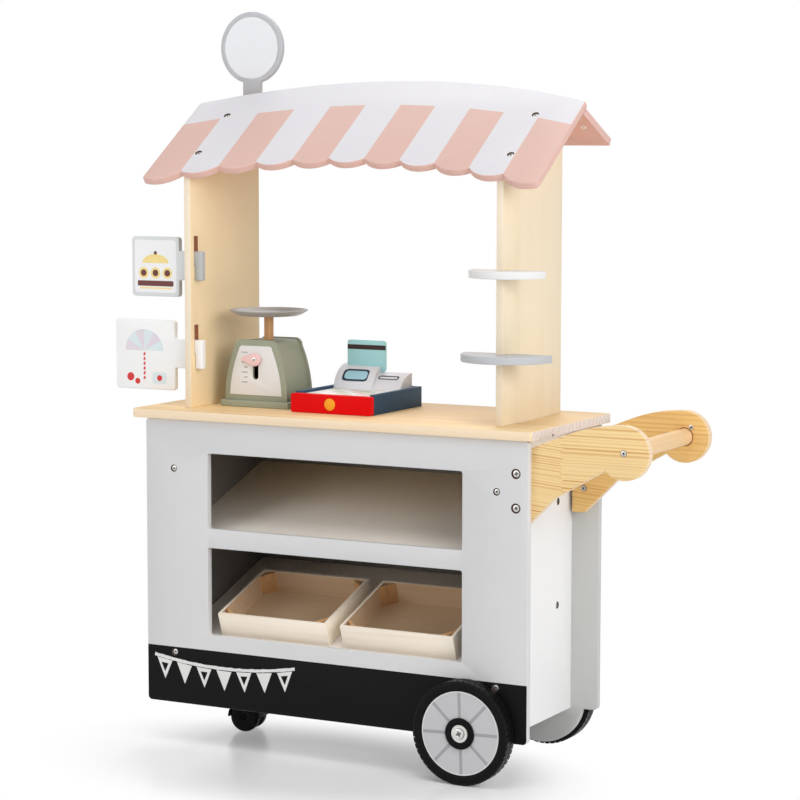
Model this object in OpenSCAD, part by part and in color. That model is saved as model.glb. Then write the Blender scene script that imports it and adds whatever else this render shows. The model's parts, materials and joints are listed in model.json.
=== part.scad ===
// Toy market stall on wheels: a panelled counter with two display windows, a striped gable roof on
// two posts, a push handle, and the shop's own equipment (scale, cash register, crates, menu boards).
// Working frame: x from the left end of the front panel, y from its front face to the back, z from
// the floor. stand() moves the finished stall so that the origin is under the middle of its box.

/* [Body panels] */
// Width of the front and rear panels
panel_w = 700; // [660:1:740]
// Depth over the front and rear panels
body_d = 287; // [270:1:310]
// Thickness of the painted panels
panel_t = 12; // [9:0.5:15]
// Height of the panels' top edge above the floor
body_top = 546; // [530:1:570]
// Height of the panels' bottom edge above the floor
body_bottom = 70; // [66:1:76]
// Distance from a panel's end to the middle of the side panel
side_inset = 53.8; // [50:0.2:58]
// Radius of the panels' corners
panel_corner_r = 7; // [3:0.5:10]
// Gap between the bottom board that carries the caster and the right side panel
bottom_gap = 110.4; // [80:0.2:180]

/* [Windows and display shelves] */
// Left edge of the windows from the panel's left end
window_x = 119; // [112:1:125]
// Right edge of the windows from the panel's right end
window_right = 113; // [108:1:125]
// Height of the lower window's sill above the floor
lower_sill = 189.4; // [180:0.2:200]
// Height of the lower window
lower_window_h = 146.5; // [135:0.5:155]
// Height of the upper window's sill above the floor
upper_sill = 367.4; // [360:0.2:376]
// Height of the upper window
upper_window_h = 125.2; // [110:0.2:135]
// Corner radius of the windows
window_r = 4; // [2:0.5:8]
// Slope of the display shelves in degrees, rising to the back
shelf_slope = 19.3; // [17:0.1:21]
// Thickness of the display shelves
shelf_t = 9; // [6:0.5:12]
// Depth of the lower shelf's front edge below its sill
lower_shelf_drop = 5.5; // [4:0.1:6]
// Depth of the upper shelf's front edge below its sill
upper_shelf_drop = 12.8; // [6:0.2:16]

/* [Countertop] */
// Thickness of the countertop
counter_t = 15; // [12:0.5:18]
// Overhang of the countertop past the panels at the left end
counter_left = 23.6; // [18:0.2:28]
// Overhang at the right end
counter_right = 9.1; // [6:0.1:14]
// Overhang at the front
counter_front = 7; // [4:0.5:12]
// Overhang at the back
counter_back = 14.6; // [8:0.2:20]
// Corner radius of the countertop
counter_r = 6; // [3:0.5:10]

/* [Posts and roof] */
// Distance from the roof's ends to the middles of the posts
post_inset = 73.3; // [65:0.1:85]
// Thickness of the posts
post_t = 12; // [9:0.5:15]
// Front edge of the posts behind the front panel's face
post_front = 42; // [36:1:48]
// Depth of the posts from front to back
post_d = 221; // [210:1:230]
// Height of the roof's upper corners above the countertop
ridge_rise = 506; // [490:1:525]
// Distance of the roof's upper corners behind the front panel's face
ridge_y = 200.3; // [195:0.5:206]
// Width of both roof boards
roof_w = 719.6; // [690:0.2:740]
// Thickness of the roof boards
roof_t = 12; // [9:0.5:15]
// Slope of the front roof board in degrees
roof_pitch = 34.5; // [32:0.1:37]
// Slope of the rear roof board in degrees
rear_pitch = 25; // [22:0.1:28]
// Rise of the arched upper edge above its corners
arch_rise = 63.7; // [50:0.1:75]
// Length of the front board from its corners to the ends of the scallop line
eave_drop = 220; // [205:1:235]
// Rise of the arched scallop line
eave_rise = 60; // [50:0.5:70]
// Number of scallops
scallops = 11; // [9:2:13]
// Depth of a scallop below its chord
scallop_d = 12.5; // [8:0.5:16]
// Length of the rear roof board down its slope
rear_board_len = 111; // [100:1:125]
// Distance from the front board's upper corner down to the rear board
ridge_lap = 5; // [2:0.5:9]

/* [Round sign] */
// Radius of the sign's disc
sign_r = 61; // [52:0.5:68]
// Radius of the white face
sign_face_r = 52.5; // [44:0.5:51]
// Thickness of the sign board
sign_t = 9; // [6:0.5:12]
// Front face of the sign behind the front panel's face
sign_y = 249; // [244:0.5:251]
// Height of the disc's middle above the roof's upper corners
sign_rise = 94.5; // [85:0.5:105]
// Width of the stem
sign_stem_w = 34; // [26:0.5:40]

/* [Menu boards] */
// Width and height of the upper board
upper_menu = [94, 100];
// Width and height of the lower board
lower_menu = [118, 118];
// Length of the neck between each board and the post, upper then lower
menu_necks = [18, 28];
// Height of each tab's bottom above the countertop, upper then lower
menu_tab_z = [211, 63.7];
// Thickness of the boards
menu_t = 11.4; // [8:0.2:14]
// Middle plane of the boards behind the front panel's face
menu_y = 59.6; // [58:0.2:64]
// Height of the hooked tab
menu_tab_h = 48.5; // [42:0.5:52]
// Depth of the hook's notch, which is also the way it lifts
menu_hook = 25; // [18:0.5:28]
// Reach of the tab past the inside of the post
menu_reach = 15; // [8:0.5:16]
// Corner radius of the boards
menu_r = 6; // [3:0.5:9]

/* [Post shelves] */
// Radius of the upper half-round shelf
upper_round_r = 63.5; // [56:0.5:70]
// Radius of the lower half-round shelf
lower_round_r = 75.5; // [66:0.5:80]
// Height of the upper shelf's top above the countertop
upper_round_z = 242.5; // [230:0.5:255]
// Height of the lower shelf's top above the countertop
lower_round_z = 111.5; // [100:0.5:120]
// Thickness of the half-round shelves
round_t = 12; // [9:0.5:14]
// Straight back edge of the half-round shelves behind the front panel's face
round_y = 76; // [70:0.5:82]
// Depth of the halving notch in the post
round_notch = 18; // [12:0.5:22]

/* [Wheels] */
// Outer radius of the two large wheels
wheel_r = 83; // [78:0.5:88]
// Distance of the wheels' axle from the panels' right end
wheel_inset = 102.5; // [98:0.5:110]
// Radial depth of the tyre
tyre_d = 16.3; // [12:0.1:20]
// Width of the tyre
wheel_w = 26; // [20:0.5:30]
// Gap between a wheel and its panel
wheel_gap = 2; // [1:0.2:4]
// Thickness of the wheel's disc
wheel_disc_t = 18; // [12:0.5:20]
// Radius of the hub ring
hub_r = 25; // [20:0.5:30]
// Radius of the washer under the bolt's head
washer_r = 14; // [11:0.5:17]
// Radius of the axle bolt
axle_r = 4; // [3:0.25:5]
// Depth from the tyre's edge to the rim of the panel's lobe
lobe_inset = 6.5; // [5:0.5:16]

/* [Caster] */
// Radius of the caster's wheels
caster_r = 25; // [22:0.5:27]
// Width over both wheels
caster_w = 46; // [40:0.5:52]
// Distance of the swivel axis from the left side panel
caster_x = 32.6; // [28:0.1:60]
// Distance from the swivel axis to the wheels' axle
caster_trail = 16; // [12:0.5:18]
// Turn of the caster about its swivel in degrees
caster_turn = 8; // [-40:1:40]

/* [Handle] */
// Thickness of the handle's arms
arm_t = 15; // [12:0.5:18]
// Gap between the arms' root and the right side panel
arm_gap = 6; // [3:0.5:9]
// Length of an arm from its root to the dowel's axis
arm_len = 194.5; // [180:0.5:210]
// Height of the dowel's axis above the arm's root
arm_rise = 134.5; // [125:0.5:145]
// Height of the arm's root below the countertop's underside
arm_drop = 146; // [140:0.5:155]
// Radius of the arm's round end
arm_end_r = 42; // [36:0.5:46]
// Radius of the curve along the arm's top
arm_top_r = 250; // [220:1:280]
// Slope of the arm's top edge in degrees
arm_top_slope = 21.8; // [19:0.1:24]
// Radius of the handle's dowel
dowel_r = 13.5; // [11:0.25:16]
// Depth of the dowel's sockets
dowel_socket = 6; // [4:0.5:9]

/* [Crates] */
// Depth of a crate up the shelf
crate_d = 157; // [145:1:165]
// Height of a crate
crate_h = 41; // [35:0.5:48]
// Thickness of the crates' boards
crate_t = 5; // [4:0.5:6]
// Room in the window left of, between and right of the two crates
crate_rooms = [13.5, 26.5, 20];
// Distance of the crates behind the front panel, along the shelf
crate_y = 10.6; // [9.5:0.1:14]
// Leg of the corner boards
crate_corner = 22; // [16:0.5:28]

/* [Scale] */
// Middle of the scale from the left post's inner face
scale_x = 89.65; // [82:0.05:92]
// Front of the scale's body behind the front panel's face
scale_y = 101; // [96:0.5:110]
// Width of the scale's body at its foot
scale_w = 120; // [112:0.5:124]
// Depth of the scale's body
scale_d = 86; // [80:0.5:95]
// Height of the scale's body above its base
scale_h = 101.5; // [96:0.5:108]
// Radius of the body's curved sides
scale_side_r = 220; // [200:1:250]
// Thickness of the front and back boards
scale_board_t = 6; // [4:0.5:8]
// Thickness of the base
scale_base_t = 11; // [8:0.5:14]
// Overhang of the base round the body
scale_lip = 6.5; // [5:0.5:10]
// Border between the body's outline and the dial
dial_border = 10; // [7:0.5:13]
// Travel of the pan and pointer
scale_travel = 28; // [22:0.5:30]
// Height of the pointer's axis above the base at rest
pointer_z = 69; // [66:0.5:71]
// Side of the square plunger
plunger_w = 12; // [11:0.5:14]
// Radius of the pan
pan_r = 66; // [58:0.5:68]
// Height of the pan's foot above the body
pan_rise = 38.5; // [34:0.5:46]

/* [Cash register] */
// Middle of the register from the left post's inner face
register_x = 250.45; // [248:0.05:259]
// Front of the register behind the front panel's face
register_y = 67; // [62:0.5:72]
// Width of the register
register_w = 147.3; // [140:0.5:155]
// Depth of the register behind its drawer front
register_d = 168; // [155:1:175]
// Height of the case's walls
register_h = 33.5; // [30:0.5:38]
// Thickness of the case's walls
register_wall = 8; // [6:0.5:9]
// Thickness of the drawer's front
drawer_front_t = 15; // [10:0.5:17]
// Length of the drawer behind its front
drawer_len = 108; // [95:1:115]
// Depth of the printer housing
housing_d = 47; // [42:0.5:52]
// Width and height of the housing's screen part
housing_high = [74, 40];
// Width and height of the housing's printer part
housing_low = [51, 27];
// Width and height of the bank card
card_size = [73.7, 52];
// Left edge of the bank card from the housing's left end
card_left = 9.7; // [6:0.1:12]
// Thickness of the bank card
card_t = 3; // [2:0.25:4]
// Depth of the card in its slot
card_in = 11.5; // [8:0.5:15]

/* [Fasteners] */
// Radius of the screws' heads
screw_head_r = 4.2; // [3.6:0.1:5]
// Radius of the screws' shanks
screw_r = 2; // [1.5:0.1:2.4]
// Depth of a screw beyond the board that it holds
screw_bite = 18; // [14:0.5:24]
// Radius of the counterbores of the panels' and the roof's screws
screw_bore_r = 6; // [5.5:0.1:7]
// Radius of the heads of the handle's bolts
arm_bolt_r = 5.4; // [5:0.1:6]
// Radius of the counterbores of the handle's bolts
arm_bore_r = 8; // [7:0.1:9]
// Depth of the counterbores
screw_sink = 1.5; // [0.5:0.1:2.5]

/* [Hidden] */
$fn = 96;
over = 1;                  // overrun of every cut
fit = 0.15;                // gap of glued and screwed seats
glue = 0.02;               // gap of flat seats cut at an angle
slip = 0.3;                // gap of pieces that slide
run_fit = 0.05;            // radial gap of a turning fit
screw_head_h = 2.6;

// Body
inner_l = side_inset + panel_t / 2;
inner_r = panel_w - inner_l;
inner_w = inner_r - inner_l;
inner_y = body_d - panel_t;
lower_shelf_z = lower_sill - lower_shelf_drop;
upper_shelf_z = upper_sill - upper_shelf_drop;
shelf_rise = (inner_y - panel_t) * tan(shelf_slope);
wheel_x = panel_w - wheel_inset;
bottom_len = inner_w - bottom_gap;
window_w = panel_w - window_x - window_right;
screw_z_shares = [0.18, 0.828];        // of the body's height
shelf_screw_shares = [0.18, 0.785];    // of the inner depth

// Countertop and posts
counter_z = body_top + counter_t;
counter_w = panel_w + counter_left + counter_right;
counter_mid = counter_w / 2 - counter_left;
post_x = [counter_mid - roof_w / 2 + post_inset, counter_mid + roof_w / 2 - post_inset];
post_back = post_front + post_d;
tenon_share = 0.5;                     // of the post's depth
tenon_y = [post_front + post_d * (1 - tenon_share) / 2, post_back - post_d * (1 - tenon_share) / 2];

// Roof: the rear board starts on the underside of the front one, and both meet over the posts' apex
ridge_z = counter_z + ridge_rise;
lap_y = ridge_y - ridge_lap * cos(roof_pitch) + (roof_t + glue) * sin(roof_pitch);
lap_z = ridge_z - ridge_lap * sin(roof_pitch) - (roof_t + glue) * cos(roof_pitch);
apex_run = roof_t / sin(roof_pitch + rear_pitch);
apex = [lap_y - apex_run * cos(roof_pitch), lap_z - apex_run * sin(roof_pitch)];
roof_corner_share = 1.1;               // corner radius as a share of the scallops' depth
roof_screw_shares = [0.17, 0.67];      // of eave_drop
rear_screw_shares = [0.3, 0.6];        // of rear_board_len
function front_under(y) = apex[1] - (apex[0] - y) * tan(roof_pitch);
function rear_under(y) = apex[1] - (y - apex[0]) * tan(rear_pitch);
function arc_r(half, rise) = (half * half + rise * rise) / (2 * rise);

// Round sign and menu boards
sign_z = ridge_z + sign_rise;
sign_seat = rear_under(sign_y) + fit;
sign_leg = 25;
sign_face_t = 1.5;
menu_low_share = 0.55;                 // of the board's height beyond the tab
menu_sizes = [upper_menu, lower_menu];
post_in = post_x[0] + post_t / 2;
post_out = post_x[0] - post_t / 2;
menu_left = min([for (i = [0, 1]) post_out - menu_necks[i] - menu_sizes[i][0]]);

// Wheels
rim_r = wheel_r - tyre_d;
hub_t = 3;
hub_gap = 0.5;
washer_t = 2;
bolt_head_r = 6.5;
bolt_head_h = 3.2;
nut_r = 8;
nut_t = 6;
tyre_round = 5;
disc_back = (wheel_w - wheel_disc_t) * 0.75;
disc_y = wheel_gap + disc_back + wheel_disc_t;

// Caster
caster_plate = [48, 48, 4];
caster_plate_r = 4;
caster_hole_share = 0.36;              // of the plate's sides
caster_screw_len = caster_plate[2] + panel_t - screw_head_h;
caster_web = 10;
caster_gap = 1.2;
caster_shell = 3;
caster_wheel_w = (caster_w - caster_web) / 2 - caster_gap;
caster_wheel_round = 5;
caster_pin_r = 3;
caster_stem_r = 5;
caster_boss_r = 11;
caster_boss_z = body_bottom - caster_plate[2] - 0.5 * caster_gap;
caster_at = [inner_l + caster_x, body_d / 2];

// Crates
crate_w = (window_w - crate_rooms[0] - crate_rooms[1] - crate_rooms[2]) / 2;
crate_x = [crate_rooms[0], crate_rooms[0] + crate_w + crate_rooms[1]];
corner_drop = 1;                       // of the corner boards below the crates' rim

// Handle
arm_x = panel_w - side_inset + panel_t / 2 + arm_gap;
arm_z = body_top - arm_drop;
dowel_x = arm_x + arm_len;
dowel_z = arm_z + arm_rise;
arm_foot_share = 0.113;                // of arm_len
arm_knee_shares = [0.411, 0.43];       // of arm_len and arm_rise
arm_notch_angle = 222.7;
arm_screw_shares = [0.107, 0.7];       // of arm_len, then of arm_rise
arm_low_screw_share = 0.3;             // of arm_rise
nut_head_r = 5;
socket_gap = 1.5;                      // round the dowel in its sockets
stop_screw_angle = 53;                 // of the small screw beside the dowel's rear socket
stop_screw_share = 0.8;                // its length as a share of arm_t
nut_head_t = 1.5;

// Scale
scale_mid = post_in + scale_x;
scale_z = counter_z + scale_base_t;
scale_wall = 4;
scale_round = 12;
scale_base_r = 4;
dial_t = 1;
dial_low_share = 0.09;                 // of the body's height
slot_w = 11;
pointer_r = 11;
pointer_len = 25;
pointer_t = 5;
pointer_tip = 3;
pin_r = 3;
plunger_low = 16;                      // plunger below the pointer's axis
plunger_y = scale_y + scale_d / 2;
pan_foot_r = 50;
pan_h = 10;
pan_t = 2;
spring_r = 9;
spring_wire = 1.1;
spring_turns = 6;
pan_z = scale_z + scale_h + pan_rise;

// Register
register_mid = post_in + register_x;
case_y = register_y + drawer_front_t;
case_base = 3;
deck_t = 4;
deck_drop = 5;
deck_z = counter_z + register_h - deck_drop;
front_gap = 0.5;
front_drop = 2.5;
drawer_t = 4;
drawer_r = 3;
knob_r = 9.8;
knob_t = 1.5;
housing_x = register_mid - register_w / 2 + register_wall + fit;
housing_y = case_y + register_d - register_wall - housing_d;
housing_step = 1.5;                    // the printer part's front behind the screen part's
card_share = 0.7;                      // slot's place in the housing's depth
card_z = deck_z + housing_high[1] - card_in;
card_r = 5;

// Frame: middle of the stall's box
stall_left = min(menu_left, -counter_left, counter_mid - roof_w / 2);
stall_right = dowel_x + arm_end_r;

// Helpers: flat boards standing across, along or lying in the stall, and rounded outlines

module stand() translate([-(stall_left + stall_right) / 2, -body_d / 2, 0]) children();

module board_xz(y, t) translate([0, y + t, 0]) rotate([90, 0, 0]) linear_extrude(t) children();

module board_yz(x, t) translate([x, 0, 0]) rotate([90, 0, 90]) linear_extrude(t) children();

module board_xy(z, t) translate([0, 0, z]) linear_extrude(t) children();

module rounded(size, r) {
    translate([r, 0]) square([size[0] - 2 * r, size[1]]);
    translate([0, r]) square([size[0], size[1] - 2 * r]);
    for (x = [r, size[0] - r], y = [r, size[1] - r]) translate([x, y]) circle(r);
}

module long_hole(w, length) {
    translate([-w / 2, -length]) square([w, length]);
    for (y = [0, -length]) translate([0, y]) circle(w / 2);
}

// A countersunk screw along +z from its head's face, or the hole for it with a gap round it
module screw(length, gap = 0, head = screw_head_r) {
    cylinder(r = screw_r + gap, h = length + gap);
    cylinder(r1 = head + gap, r2 = screw_r + gap, h = screw_head_h);
    if (gap > 0) translate([0, 0, -over]) cylinder(r = head + gap, h = over);
}

// The same screw sunk below the face; its hole starts with a counterbore
module sunk_screw(length, gap = 0, bore = screw_bore_r, head = screw_head_r) {
    translate([0, 0, screw_sink]) screw(length - screw_sink, gap, head);
    if (gap > 0) translate([0, 0, -over]) cylinder(r = bore, h = over + screw_sink);
}

module arm_bolt(length, gap = 0) sunk_screw(length, gap, arm_bore_r, arm_bolt_r);

// The same piece at the front and, turned round, at the back of the stall
module both_faces() {
    children();
    translate([0, body_d, 0]) mirror([0, 1, 0]) children();
}

// Places of the fasteners

module at_panel_screws() for (x = [side_inset, panel_w - side_inset], s = screw_z_shares)
    translate([x, 0, body_bottom + s * (body_top - body_bottom)]) rotate([-90, 0, 0]) children();

module at_arm_screws() for (s = [arm_low_screw_share, arm_screw_shares[1]])
    translate([arm_x + arm_screw_shares[0] * arm_len, 0, arm_z + s * arm_rise]) rotate([-90, 0, 0])
        children();

module at_shelf_screws(z) for (side = [0, 1], s = shelf_screw_shares)
    translate([side * panel_w, panel_t + s * (inner_y - panel_t), z + s * shelf_rise
        - shelf_t / cos(shelf_slope) / 2]) rotate([0, side == 0 ? 90 : -90, 0])
        translate([0, 0, side_inset - panel_t / 2]) children();

module at_stop_screw() {
    reach = dowel_r + socket_gap + screw_head_r + slip;
    translate([dowel_x + reach * cos(stop_screw_angle), inner_y - arm_t,
        dowel_z + reach * sin(stop_screw_angle)]) rotate([-90, 0, 0]) children();
}

module at_front_roof_screws() for (x = post_x, s = roof_screw_shares)
    translate([x, ridge_y, ridge_z]) rotate([roof_pitch, 0, 0]) translate([0, -s * eave_drop, 0])
        rotate([180, 0, 0]) children();

module at_rear_roof_screws() for (x = post_x, s = rear_screw_shares)
    translate([x, lap_y, lap_z]) rotate([-rear_pitch, 0, 0]) translate([0, s * rear_board_len, 0])
        rotate([180, 0, 0]) children();

// Body

module panel_outline() {
    translate([0, body_bottom]) rounded([panel_w, body_top - body_bottom], panel_corner_r);
    translate([wheel_x, wheel_r]) circle(wheel_r - lobe_inset);
}

module window(sill, h) translate([window_x, sill]) rounded([window_w, h], window_r);

module panel_holes() {
    at_panel_screws() sunk_screw(panel_t + over, fit);
    at_arm_screws() arm_bolt(panel_t + over, fit);
    translate([wheel_x, -over, wheel_r]) rotate([-90, 0, 0])
        cylinder(r = axle_r + run_fit, h = panel_t + 2 * over);
}

module front_panel() color("lightgray") difference() {
    board_xz(0, panel_t) difference() {
        panel_outline();
        window(lower_sill, lower_window_h);
        window(upper_sill, upper_window_h);
    }
    panel_holes();
}

module rear_panel() color("silver") difference() {
    board_xz(inner_y, panel_t) panel_outline();
    translate([0, body_d, 0]) mirror([0, 1, 0]) panel_holes();
}

module side_panel(x) difference() {
    translate([x - panel_t / 2, panel_t, body_bottom])
        cube([panel_t, inner_y - panel_t, body_top - body_bottom]);
    both_faces() at_panel_screws() sunk_screw(panel_t + screw_bite, fit);
    for (z = [lower_shelf_z, upper_shelf_z]) at_shelf_screws(z) sunk_screw(panel_t + over, fit);
}

module left_side_panel() color("white") side_panel(side_inset);

module right_side_panel() color("white") side_panel(panel_w - side_inset);

module bottom_board() color("white") difference() {
    translate([inner_l, panel_t, body_bottom]) cube([bottom_len, inner_y - panel_t, panel_t]);
    at_caster_screws() screw(caster_screw_len, fit);
}

module display_shelf(z) difference() {
    board_yz(inner_l, inner_w) polygon([
        [panel_t, z], [inner_y, z + shelf_rise],
        [inner_y, z + shelf_rise - shelf_t / cos(shelf_slope)], [panel_t, z - shelf_t / cos(shelf_slope)]]);
    at_shelf_screws(z) sunk_screw(panel_t + screw_bite, fit);
}

module lower_display_shelf() color("white") display_shelf(lower_shelf_z);

module upper_display_shelf() color("white") display_shelf(upper_shelf_z);

// Countertop with a mortise for each post's tenon

module countertop() color("burlywood") difference() {
    board_xy(body_top, counter_t) translate([-counter_left, -counter_front])
        rounded([counter_w, body_d + counter_front + counter_back], counter_r);
    for (x = post_x) translate([x - post_t / 2 - fit, tenon_y[0] - fit, body_top - over])
        cube([post_t + 2 * fit, tenon_y[1] - tenon_y[0] + 2 * fit, counter_t + 2 * over]);
}

// Posts: gable boards, slotted for the menu boards at the left and notched for the shelves at the right

module post_outline() polygon([
    [post_front, counter_z], [post_front, front_under(post_front) - glue], [apex[0], apex[1] - glue],
    [post_back, rear_under(post_back) - glue], [post_back, counter_z],
    [tenon_y[1], counter_z], [tenon_y[1], body_top], [tenon_y[0], body_top], [tenon_y[0], counter_z]]);

module post(x) difference() {
    board_yz(x - post_t / 2, post_t) post_outline();
    at_front_roof_screws() sunk_screw(roof_t + screw_bite, fit);
    at_rear_roof_screws() sunk_screw(roof_t + screw_bite, fit);
}

module left_post() color("wheat") difference() {
    post(post_x[0]);
    for (z = menu_tab_z) translate([post_out - over, menu_y - menu_t / 2 - slip, counter_z + z + menu_hook])
        cube([post_t + 2 * over, menu_t + 2 * slip, menu_tab_h + slip]);
}

module right_post() color("wheat") difference() {
    post(post_x[1]);
    for (z = [upper_round_z, lower_round_z])
        translate([post_x[1] - post_t / 2 - over, post_front - over, counter_z + z - round_t - fit])
            cube([post_t + 2 * over, round_notch + over + fit, round_t + 2 * fit]);
}

// Roof: an arched, scalloped front board and a short rear board with a bevelled upper edge

function eave_v(u) = let (r = arc_r(roof_w / 2, eave_rise))
    eave_rise - eave_drop - r + sqrt(r * r - u * u);

module scallop(i) {
    pitch = roof_w / scallops;
    a = [i * pitch - roof_w / 2, eave_v(i * pitch - roof_w / 2)];
    b = [a[0] + pitch, eave_v(a[0] + pitch)];
    chord = norm(b - a);
    r = arc_r(chord / 2, scallop_d);
    up = [a[1] - b[1], b[0] - a[0]] / chord;
    translate((a + b) / 2 + up * (r - scallop_d)) circle(r);
}

module front_roof_outline() intersection() {
    translate([-roof_w / 2, -eave_drop - scallop_d / 2])
        rounded([roof_w, 2 * eave_drop], roof_corner_share * scallop_d);
    union() {
        difference() {
            translate([0, arch_rise - arc_r(roof_w / 2, arch_rise)])
                circle(arc_r(roof_w / 2, arch_rise), $fn = 720);
            translate([0, eave_rise - eave_drop + scallop_d - arc_r(roof_w / 2, eave_rise)])
                circle(arc_r(roof_w / 2, eave_rise), $fn = 720);
        }
        for (i = [0 : scallops - 1]) scallop(i);
    }
}

module front_roof_board() color("pink") difference() {
    translate([counter_mid, ridge_y, ridge_z]) rotate([roof_pitch, 0, 0])
        translate([0, 0, -roof_t]) linear_extrude(roof_t) front_roof_outline();
    at_front_roof_screws() sunk_screw(roof_t + over, fit);
}

module rear_roof_board() color("pink") difference() {
    board_yz(counter_mid - roof_w / 2, roof_w) polygon([
        [lap_y, lap_z],
        [lap_y + rear_board_len * cos(rear_pitch), lap_z - rear_board_len * sin(rear_pitch)],
        [lap_y + rear_board_len * cos(rear_pitch) - roof_t * sin(rear_pitch),
            lap_z - rear_board_len * sin(rear_pitch) - roof_t * cos(rear_pitch)],
        apex]);
    at_rear_roof_screws() sunk_screw(roof_t + over, fit);
    board_xz(sign_y - fit, sign_t + 2 * fit)
        translate([post_x[0] - sign_stem_w / 2 - fit, sign_seat - sign_leg])
            square([sign_stem_w + 2 * fit, sign_z - sign_seat]);
}

// Round sign: its stem passes through the rear board and stands astride the left post

module round_sign() color("silver") difference() {
    board_xz(sign_y, sign_t) difference() {
        union() {
            translate([post_x[0], sign_z]) circle(sign_r);
            translate([post_x[0] - sign_stem_w / 2, sign_seat - sign_leg])
                square([sign_stem_w, sign_z - sign_seat]);
        }
        translate([post_x[0] - post_t / 2 - fit, sign_seat - sign_leg - over])
            square([post_t + 2 * fit, sign_leg + over]);
    }
    board_xz(sign_y - over, sign_face_t + over) translate([post_x[0], sign_z]) circle(sign_face_r + fit);
}

module sign_face() color("white") board_xz(sign_y, sign_face_t)
    translate([post_x[0], sign_z]) circle(sign_face_r);

// Half-round shelves, halved into the right post

module post_shelf(r, top) translate([post_x[1], round_y, counter_z + top - round_t]) linear_extrude(round_t)
    difference() {
        circle(r);
        translate([-r - over, 0]) square([2 * (r + over), r + over]);
        translate([-post_t / 2 - fit, post_front + round_notch - round_y])
            square([post_t + 2 * fit, round_y - post_front]);
    }

module upper_post_shelf() color("white") post_shelf(upper_round_r, upper_round_z);

module lower_post_shelf() color("lightgray") post_shelf(lower_round_r, lower_round_z);

// Handle: two bandsawn arms and a dowel between them

module arm_outline() {
    top = [arm_len, arm_rise + arm_end_r];
    bend = top - arm_top_r * [sin(arm_top_slope), 1 - cos(arm_top_slope)];
    notch = [arm_len, arm_rise] + arm_end_r * [cos(arm_notch_angle), sin(arm_notch_angle)];
    knee = [arm_knee_shares[0] * arm_len, arm_knee_shares[1] * arm_rise];
    translate([arm_len, arm_rise]) circle(arm_end_r);
    polygon([[0, 0], [arm_foot_share * arm_len, 0], knee, notch, [arm_len, arm_rise], top, bend,
        [0, bend[1] - bend[0] * tan(arm_top_slope)]]);
    intersection() {
        translate(top - [0, arm_top_r]) circle(arm_top_r, $fn = 360);
        polygon([bend, top, [bend[0], top[1]]]);
    }
}

module handle_arm() difference() {
    board_xz(panel_t, arm_t) translate([arm_x, arm_z]) arm_outline();
    translate([dowel_x, panel_t + arm_t - dowel_socket, dowel_z]) rotate([-90, 0, 0])
        cylinder(r = dowel_r + socket_gap, h = dowel_socket + over);
    translate([dowel_x, panel_t, dowel_z]) rotate([-90, 0, 0]) screw(arm_t + over, fit);
    at_arm_screws() arm_bolt(panel_t + arm_t + over, fit);
}

module front_handle_arm() color("burlywood") handle_arm();

module rear_handle_arm() color("burlywood") difference() {
    translate([0, body_d, 0]) mirror([0, 1, 0]) handle_arm();
    at_stop_screw() screw(stop_screw_share * arm_t, fit);
}

module handle_dowel() color("wheat") difference() {
    dowel_y = panel_t + arm_t - dowel_socket;
    translate([dowel_x, dowel_y, dowel_z]) rotate([-90, 0, 0])
        cylinder(r = dowel_r, h = body_d - 2 * dowel_y);
    both_faces() translate([dowel_x, panel_t, dowel_z]) rotate([-90, 0, 0])
        screw(arm_t + screw_bite, fit);
}

// Fasteners

module panel_screws() color("silver") both_faces() at_panel_screws()
    sunk_screw(panel_t + screw_bite - fit);

module shelf_screws() color("silver") for (z = [lower_shelf_z, upper_shelf_z])
    at_shelf_screws(z) sunk_screw(panel_t + screw_bite - fit);

module handle_screws() color("silver") {
    both_faces() {
        translate([dowel_x, panel_t, dowel_z]) rotate([-90, 0, 0]) screw(arm_t + screw_bite - fit);
        at_arm_screws() {
            arm_bolt(panel_t + arm_t);
            translate([0, 0, panel_t + arm_t]) cylinder(r = nut_head_r, h = nut_head_t);
        }
    }
    at_stop_screw() screw(stop_screw_share * arm_t);
}

module caster_screws() color("silver") at_caster_screws() screw(caster_screw_len);

module roof_screws() color("silver") {
    at_front_roof_screws() sunk_screw(roof_t + screw_bite - fit);
    at_rear_roof_screws() sunk_screw(roof_t + screw_bite - fit);
}

// Large wheels: bolt and nut on the panel; tyre, disc and hub ring turn on the bolt

module on_axle() translate([wheel_x, 0, wheel_r]) rotate([90, 0, 0]) children();

module axle_bolts() color("silver") both_faces() on_axle() {
    translate([0, 0, -panel_t - nut_t]) cylinder(r = axle_r, h = panel_t + nut_t + disc_y + slip + washer_t);
    translate([0, 0, disc_y + slip]) difference() {
        cylinder(r = washer_r, h = washer_t);
        translate([0, 0, -over]) cylinder(r = axle_r + fit, h = washer_t + 2 * over);
    }
    translate([0, 0, disc_y + slip + washer_t]) cylinder(r1 = bolt_head_r, r2 = axle_r, h = bolt_head_h);
}

module axle_nuts() color("silver") both_faces() on_axle() translate([0, 0, -panel_t - nut_t]) difference() {
    cylinder(r = nut_r, h = nut_t, $fn = 6);
    translate([0, 0, -over]) cylinder(r = axle_r + fit, h = nut_t + 2 * over);
}

module tyre() on_axle() translate([0, 0, wheel_gap]) rotate_extrude() difference() {
    translate([rim_r + run_fit, 0]) rounded([tyre_d - run_fit, wheel_w], tyre_round);
    translate([rim_r - over, disc_back]) square([over + run_fit, wheel_disc_t]);
}

module wheel_disc() on_axle() translate([0, 0, disc_y - wheel_disc_t]) difference() {
    cylinder(r = rim_r, h = wheel_disc_t);
    translate([0, 0, -over]) cylinder(r = axle_r + run_fit, h = wheel_disc_t + 2 * over);
}

module hub_ring() on_axle() translate([0, 0, disc_y]) difference() {
    cylinder(r = hub_r, h = hub_t);
    translate([0, 0, -over]) cylinder(r = washer_r + hub_gap, h = hub_t + 2 * over);
}

module at_back() translate([0, body_d, 0]) mirror([0, 1, 0]) children();

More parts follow.
